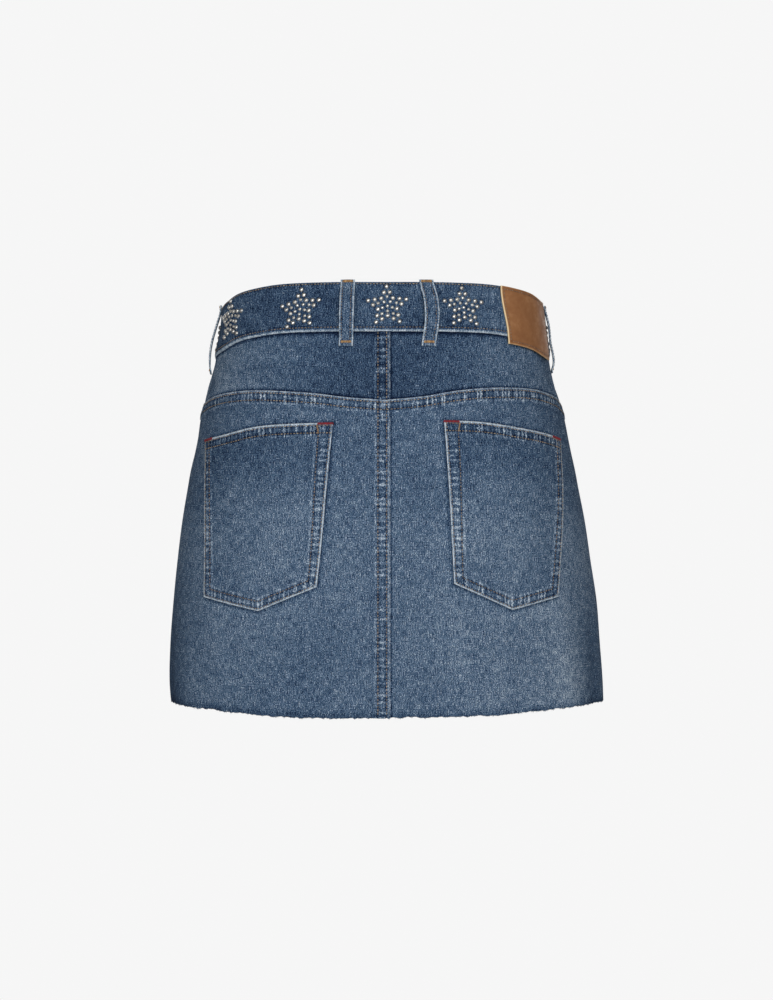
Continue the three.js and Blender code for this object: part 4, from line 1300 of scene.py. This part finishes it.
loop_seams, loop_bars = [], []
for name, (way, round_it, bow, above, length, rises) in LOOPS.items():
    top = float(waistline(round_it)) + above
    share_round = round_it / float(halfway(way, top))

    def loop_middle(z, way=way, top=top, share_round=share_round, bow=bow, length=length):
        return way * (share_round * halfway(way, z) + bow * np.sin(np.pi * (top - z) / length))

    def loop_under(u, z, top=top, rises=rises):
        return BAND_CLOTH + SEAM_GAP + curve(top - z, *rises)

    def loop_over(u, z, middle=loop_middle, under=loop_under):
        """Outer face of a loop: puffed between its rows and at its rounded edges."""
        away = np.abs(u - middle(z))
        edge = LOOP_WIDTH / 2
        shape = 0.22 * bell(away, 1.8) - 0.16 * bell(away - LOOP_ROW, 0.8)
        shape = shape - 0.5 * step(edge - 0.9, edge, away)
        return under(u, z) + LOOP_CLOTH + shape

    def loop_wear(u, z, middle=loop_middle, top=top, way=way, length=length):
        away = np.abs(u - middle(z))
        ends = bell(top - z, 1.5) + bell(top - length - z, 1.5)
        worn_and_shaded = 0.6 - 0.34 * bell(away - LOOP_ROW, 0.8) + 0.08 * noise(z / 3.4 + way * 7, 72) + 0.25 * ends
        edge = bell(away - LOOP_WIDTH / 2 + 0.3, 1.05) * (0.9 + 0.25 * noise(z / 2.4 + way * 9, 71))
        return worn_and_shaded + np.clip(edge, 0, 1) * (1.42 - worn_and_shaded)

    loop = cloth_wall(
        f"cloth_belt_loop_{name}",
        start=lambda z, middle=loop_middle: middle(z) - LOOP_WIDTH / 2,
        end=lambda z, middle=loop_middle: middle(z) + LOOP_WIDTH / 2,
        top=lambda u, top=top: top + 0 * u, bottom=lambda u, top=top, length=length: top - length + 0 * u,
        columns=stops([0, 0.5, 1.1], 0.9, [0, 0.5, 1.1], LOOP_WIDTH), rows=np.linspace(0, 1, 46),
        under=loop_under, over=loop_over, wear_and_shade=loop_wear,
    )
    fasten(loop, DENIM, "denim", f"belt_loop_{name}")
    z = top - 2.5 - (length - 5) * DENSE
    for aside_by in (-LOOP_ROW, LOOP_ROW):
        loop_seams.append((loop_middle(z) + aside_by + 0.4, z, loop_over))
    for drop in (1.3, length - 3.6):
        at_u = float(loop_middle(top - drop))
        loop_bars.append(bar_tack(at_u, top - drop, 0, 8.4, 2.4, loop_over))
sew("stitching_loops", loop_seams, BROWN, FINE_PITCH, FINE_THREAD)
tack("bar_tacks_loops", loop_bars, ORANGE, "thread", 0.3)

# Waist patch
# A plain piece of tan-brown leather on the band, sewn down all round. Its cut edges show the paler
# middle of the hide.

PATCH_START = (-100.8, -108.1)
PATCH_END = (-160.0, -168.0)
PATCH_BELOW = 7.0
PATCH_SEWN = 2.6
PATCH_SEAT = BAND_CLOTH + 1.5 * SEAM_GAP
LEATHER = 1.4


def patch_share(z):
    foot = float(band_bottom(PATCH_START[0])) - PATCH_BELOW
    return 1 - step(foot, float(waistline(PATCH_START[0])), z)


def patch_start(z):
    return PATCH_START[0] + (PATCH_START[1] - PATCH_START[0]) * patch_share(z)


def patch_end(z):
    return PATCH_END[0] + (PATCH_END[1] - PATCH_END[0]) * patch_share(z)


def patch_over(u, z):
    inside = np.minimum(
        np.minimum(patch_start(z) - u, u - patch_end(z)),
        np.minimum(waistline(u) - z, z - band_bottom(u) + PATCH_BELOW))
    return (
        PATCH_SEAT + LEATHER - 0.35 * (1 - step(0, 1.2, inside)) - 0.2 * bell(inside - PATCH_SEWN, 0.9)
        + 0.12 * mottle(u / 9 + 20, z / 9 + 20, 81)
    )


def patch_wear(u, z):
    """Wear of the leather: its pale cut edge, darkest just inside it, and a handled middle."""
    start, end = patch_start(z) - u, u - patch_end(z)
    down, up = waistline(u) - z, z - band_bottom(u) + PATCH_BELOW
    cut = 0.9 * bell(start, 0.75) + 0.3 * bell(end, 0.6) + 0.3 * bell(down, 0.5) + 0.35 * bell(up, 0.6)
    inside = np.minimum(np.minimum(start, end), np.minimum(down, up))
    return 0.5 + cut - 0.14 * bell(inside - PATCH_SEWN, 1.0) + 0.05 * mottle(u / 11 + 20, z / 11 + 20, 82)


def leather_material():
    """Smooth leather: wear and cloudy handling marks pick its brown, and fine pores give a bump."""
    material, nodes, links, shader = new_material("brown leather", Specular_IOR_Level=0.45)
    place = put_node(nodes, "TexCoord")
    wear_and_shade = put_node(nodes, "Attribute", attribute_name="wear_and_shade")
    scuff = put_node(nodes, "Group", node_tree=SCUFF, Size=160.0)
    marks = put_node(nodes, "Math", 0.12, operation="MULTIPLY_ADD")
    ramp = add_ramp(nodes, [
        (0.0, linear(84, 50, 28)), (0.35, linear(128, 82, 48)), (0.58, linear(156, 106, 66)),
        (0.8, linear(196, 150, 104)), (1.0, linear(232, 206, 160)),
    ])
    gloss = put_node(nodes, "MapRange", To_Min=0.62, To_Max=0.42)
    pores = put_node(nodes, "TexVoronoi", Scale=1500.0)
    bump = put_node(nodes, "Bump", Strength=0.25, Distance=0.0002)
    links.new(place.outputs["Object"], scuff.inputs["Place"])
    links.new(place.outputs["Object"], pores.inputs["Vector"])
    links.new(scuff.outputs["Mark"], marks.inputs[0])
    links.new(wear_and_shade.outputs["Fac"], marks.inputs[2])
    links.new(marks.outputs[0], ramp.inputs["Fac"])
    links.new(scuff.outputs["Mark"], gloss.inputs["Value"])
    links.new(ramp.outputs["Color"], shader.inputs["Base Color"])
    links.new(gloss.outputs["Result"], shader.inputs["Roughness"])
    links.new(pores.outputs["Distance"], bump.inputs["Height"])
    links.new(bump.outputs["Normal"], shader.inputs["Normal"])
    return material


patch = cloth_wall(
    "leather_waist_patch", start=patch_start, end=patch_end,
    top=waistline, bottom=lambda u: band_bottom(u) - PATCH_BELOW,
    columns=stops([0, 0.6, 1.3, 2.6], 1.5, [0, 0.6, 1.3, 2.6], 59),
    rows=stops([0, 0.6, 1.3, 2.6], 1.5, [0, 0.6, 1.3, 2.6], 50),
    under=lambda u, z: PATCH_SEAT + 0 * u, over=patch_over, wear_and_shade=patch_wear,
)
fasten(patch, leather_material(), "brown_leather", "waist_patch")

top_u = np.linspace(-103.6, -157.6, 120)
foot_u = np.linspace(-111.9, -165.2, 120)


def patch_row_foot(u):
    return band_bottom(u) - PATCH_BELOW + PATCH_SEWN


left_z = np.linspace(float(waistline(103.0)) - PATCH_SEWN, float(patch_row_foot(111.0)), 120)
right_z = np.linspace(float(waistline(158.0)) - PATCH_SEWN, float(patch_row_foot(166.0)), 120)
sew("stitching_patch", [
    (top_u, waistline(top_u) - PATCH_SEWN, patch_over), (foot_u, patch_row_foot(foot_u), patch_over),
    (patch_start(left_z) - PATCH_SEWN, left_z, patch_over),
    (patch_end(right_z) + PATCH_SEWN, right_z, patch_over),
], BROWN, FINE_PITCH, FINE_THREAD)

# Stars
# Domed silver studs pressed through the waistband in five-pointed stars: one at each point, corner and
# edge, and smaller ones inside.

STAR_TIP = 16.9
STAR_INNER = 0.5
STUD = 2.05
SMALL_STUD = 1.55
LOOK = 10.0  # how far to either side a hidden star looks for its climb and lean
# Each star's middle: way round and how far above the band's middle. Then how much it climbs towards
# the wearer's left and how much its top leans that way.
STARS = [
    (-2.5, 0.3, -0.035, 0.035), (72, -1.6, -0.1475, -0.09), (146, 1.2, -0.14, 0.02),
    (-67.4, -0.4, 0.02, 0.1),
]
for at in (212, 283, 354, -212, -283, -354):
    # The hidden ones lean with the cloth, which narrows upwards, and climb with the waistline.
    z = float(waistline(at)) - BAND_HEIGHT / 2
    half, above, below = (float(halfway(int(np.sign(at)), z + away)) for away in (0, LOOK, -LOOK))
    climb = float(waistline(at + LOOK) - waistline(at - LOOK)) / (2 * LOOK)
    STARS.append((at, 0, climb, at / half * (above - below) / (2 * LOOK)))


def star_places():
    """The studs of an upright star, as across, up and radius: five points, five inner corners, the
    middles of the ten edges, a smaller star inside, and one in the middle."""
    turn = np.arange(10) * np.pi / 5
    reach = np.where(np.arange(10) % 2 == 0, STAR_TIP, STAR_TIP * STAR_INNER)
    corners = np.stack([reach * np.sin(turn), reach * np.cos(turn)], axis=-1)
    middles = (corners + np.roll(corners, -1, axis=0)) / 2
    within = np.where(np.arange(10) % 2 == 0, 8.2, 4.4)
    inside = np.stack([within * np.sin(turn), within * np.cos(turn)], axis=-1)
    places = np.concatenate([corners, middles, inside, [(0, 0)]])
    radii = np.concatenate([np.full(20, STUD), np.full(11, SMALL_STUD)])
    return places, radii


places, radii = star_places()
stud_u, stud_z, stud_r = [], [], []
for at, above, climb, lean in STARS:
    stud_u.append(at + places[:, 0] + lean * places[:, 1])
    stud_z.append(float(waistline(at)) - BAND_HEIGHT / 2 + above + climb * places[:, 0] + places[:, 1])
    stud_r.append(radii)
stud_u, stud_z, stud_r = (np.concatenate(part) for part in (stud_u, stud_z, stud_r))
stud_out = outward(stud_u, stud_z)
foot = on_cloth(stud_u, stud_z, band_over(stud_u, stud_z) - 0.35)
aside = unit(np.cross(stud_out, (0, 0, 1.0)))
spoke = spokes(aside, np.cross(aside, stud_out), 8)
# A dome: rings at angles up from the foot, each broad as the cosine and high as the sine.
rise = np.array([0, 0.0, 0.45, 0.95, 1.35])
broad = np.array([1, 1, *np.cos(rise[2:])])
high = np.array([0, 0.25, *(0.25 + 0.62 * np.sin(rise[2:]))])
scale = (stud_r * METRE)[:, None, None, None]
points = foot[:, None, None] + scale * (
    spoke[:, None] * broad[None, :, None, None]
    + stud_out[:, None, None] * (high[None, :, None, None] + 0.35 / stud_r[:, None, None, None])
)
points[:, 0] -= (stud_out * 0.35 * METRE)[:, None]
lids = np.array([[0, 1, 2, 3], [0, 3, 4, 7], [4, 5, 6, 7]])
each = np.concatenate([tube_faces(8, 5), lids[:, ::-1], lids + 32])
quads = (np.arange(len(stud_u))[:, None, None] * 40 + each).reshape(-1, 4)
studs = make_closed("star_studs", points.reshape(-1, 3), quads)
STUD_METAL = metal_material("stud plating", linear(164, 160, 152), linear(250, 248, 244), 0.2, 0.4, 700.0)
fasten(studs, STUD_METAL, "silver_metal")

# Raw hem
# The hem is cut and left raw, so short white and blue yarn ends hang out of it in small tufts. The
# pocket tops are frayed in the same way.


def frayed(name, u, z, lean, long, out, radius, seed):
    """Loose yarn ends from the cloth at u and z: each goes down by its length and sideways by lean."""
    begin = on_cloth(u, z, out)
    finish = on_cloth(u + lean, z - long, out + np.random.default_rng(seed).uniform(-0.3, 0.4, len(u)))
    tones = np.random.default_rng(seed + 1).uniform(0, 1, len(u))
    threads(name, begin, finish, outward(u, z), (radius, 0.1, 0.0), tones, FRAY, "denim")


FRAY = thread_material("loose yarn", linear(58, 78, 104), linear(214, 220, 222))
chance = np.random.default_rng(91)
hem_u = np.arange(-505.0, 505.0, 0.8)
hem_u = hem_u + chance.uniform(-0.3, 0.3, len(hem_u))
hem_u = hem_u[(hem_u > -halfway(-1, -352.0) + 1) & (hem_u < halfway(1, -352.0) - 1)]
tuft = step(-0.2, 0.8, noise(hem_u / 2.3, 92))
hem_long = 0.2 + 0.7 * tuft * chance.uniform(0.3, 1, len(hem_u)) + 0.3 * chance.uniform(0, 1, len(hem_u))
frayed(
    "hem_fringe", hem_u, hem_cut(hem_u) + 0.5, chance.uniform(-0.6, 0.6, len(hem_u)), hem_long + 0.5,
    chance.uniform(0.25, 1.05, len(hem_u)), 0.2, 93)
fray_u = np.concatenate([np.arange(56.0, 163.0, 0.9), -np.arange(62.0, 160.0, 0.9)])
fray_u = fray_u + chance.uniform(-0.4, 0.4, len(fray_u))
frayed(
    "pocket_fringe", fray_u, pocket_top(fray_u) - 0.4, chance.uniform(-1.2, 1.2, len(fray_u)),
    -chance.uniform(0.3, 1.3, len(fray_u)), POCKET_SEAT + chance.uniform(0.9, 1.7, len(fray_u)), 0.16, 95)

# Stage
# A pale round studio sweep with soft boxes, and a camera level with the middle of the skirt behind it.

CAMERA_BACK = 2.2
CAMERA_HEIGHT = -0.1727
CAMERA_ASIDE = -0.00178
LENS = 89.0
FLOOR = -0.75
SWEEP_WIDE = 3.2
SWEEP_HIGH = 4.0
PAPER = 0.923  # linear value of the photograph's plain background

# The sweep's profile: a flat floor, a quarter round and an upright wall, turned about the Z axis.
bend = np.linspace(0, np.pi / 2, 24)
reach = np.concatenate([[0.00005, 0.6, 1.4], SWEEP_WIDE - 1.2 + 1.2 * np.sin(bend), [SWEEP_WIDE]])
height = FLOOR + np.concatenate([[0, 0, 0], 1.2 * (1 - np.cos(bend)), [SWEEP_HIGH]])
turn = np.linspace(0, 2 * np.pi, 97)
points = np.stack([
    reach[:, None] * np.cos(turn), reach[:, None] * np.sin(turn), height[:, None] + 0 * turn], axis=-1)
sweep = make_mesh("studio_sweep", points.reshape(-1, 3), grid_faces(len(turn), len(reach))[:, ::-1])
paper, nodes, links, shader = new_material("sweep paper", Base_Color=(0.5, 0.5, 0.5, 1), Roughness=1.0)
glow = put_node(nodes, "Emission", Color=(PAPER, PAPER, PAPER, 1))
seen = put_node(nodes, "LightPath")
choose = put_node(nodes, "MixShader")
links.new(seen.outputs["Is Camera Ray"], choose.inputs[0])
links.new(shader.outputs[0], choose.inputs[1])
links.new(glow.outputs[0], choose.inputs[2])
links.new(choose.outputs[0], nodes["Material Output"].inputs["Surface"])
sweep.data.materials.append(paper)

# Soft boxes: place, what they face, size and power.
for name, place, size, power in (
    ("key", (-0.55, 2.1, 0.75), 1.3, 24.0),
    ("fill", (0.9, 1.9, 0.1), 1.3, 12.0),
    ("low", (0.0, 2.0, -0.65), 1.0, 5.0),
    ("front", (0.7, -2.0, 0.7), 1.3, 14.0),
    ("front_fill", (-0.9, -1.8, 0.1), 1.2, 8.0),
):
    lamp = bpy.data.lights.new(name, "AREA")
    lamp.shape = "SQUARE"
    lamp.size = size
    lamp.energy = power
    box = bpy.data.objects.new(name, lamp)
    bpy.context.scene.collection.objects.link(box)
    away = unit(np.array([0, 0, -0.17]) - np.array(place))
    flat = np.hypot(away[0], away[1])
    box.location = place
    box.rotation_euler = (math.atan2(flat, -away[2]), 0, math.atan2(-away[0], away[1]))
    box.visible_camera = False

world = bpy.data.worlds.new("studio air")
world.use_nodes = True
world.node_tree.nodes["Background"].inputs["Color"].default_value = (1, 1, 1, 1)
world.node_tree.nodes["Background"].inputs["Strength"].default_value = 0.15
bpy.context.scene.world = world
bpy.context.scene.view_settings.view_transform = "Standard"

camera = bpy.data.objects.new("camera", bpy.data.cameras.new("camera"))
camera.data.lens = LENS
camera.data.sensor_width = 36.0
camera.location = (CAMERA_ASIDE, CAMERA_BACK, CAMERA_HEIGHT)
camera.rotation_euler = (math.pi / 2, 0, math.pi)
bpy.context.scene.collection.objects.link(camera)
bpy.context.scene.camera = camera
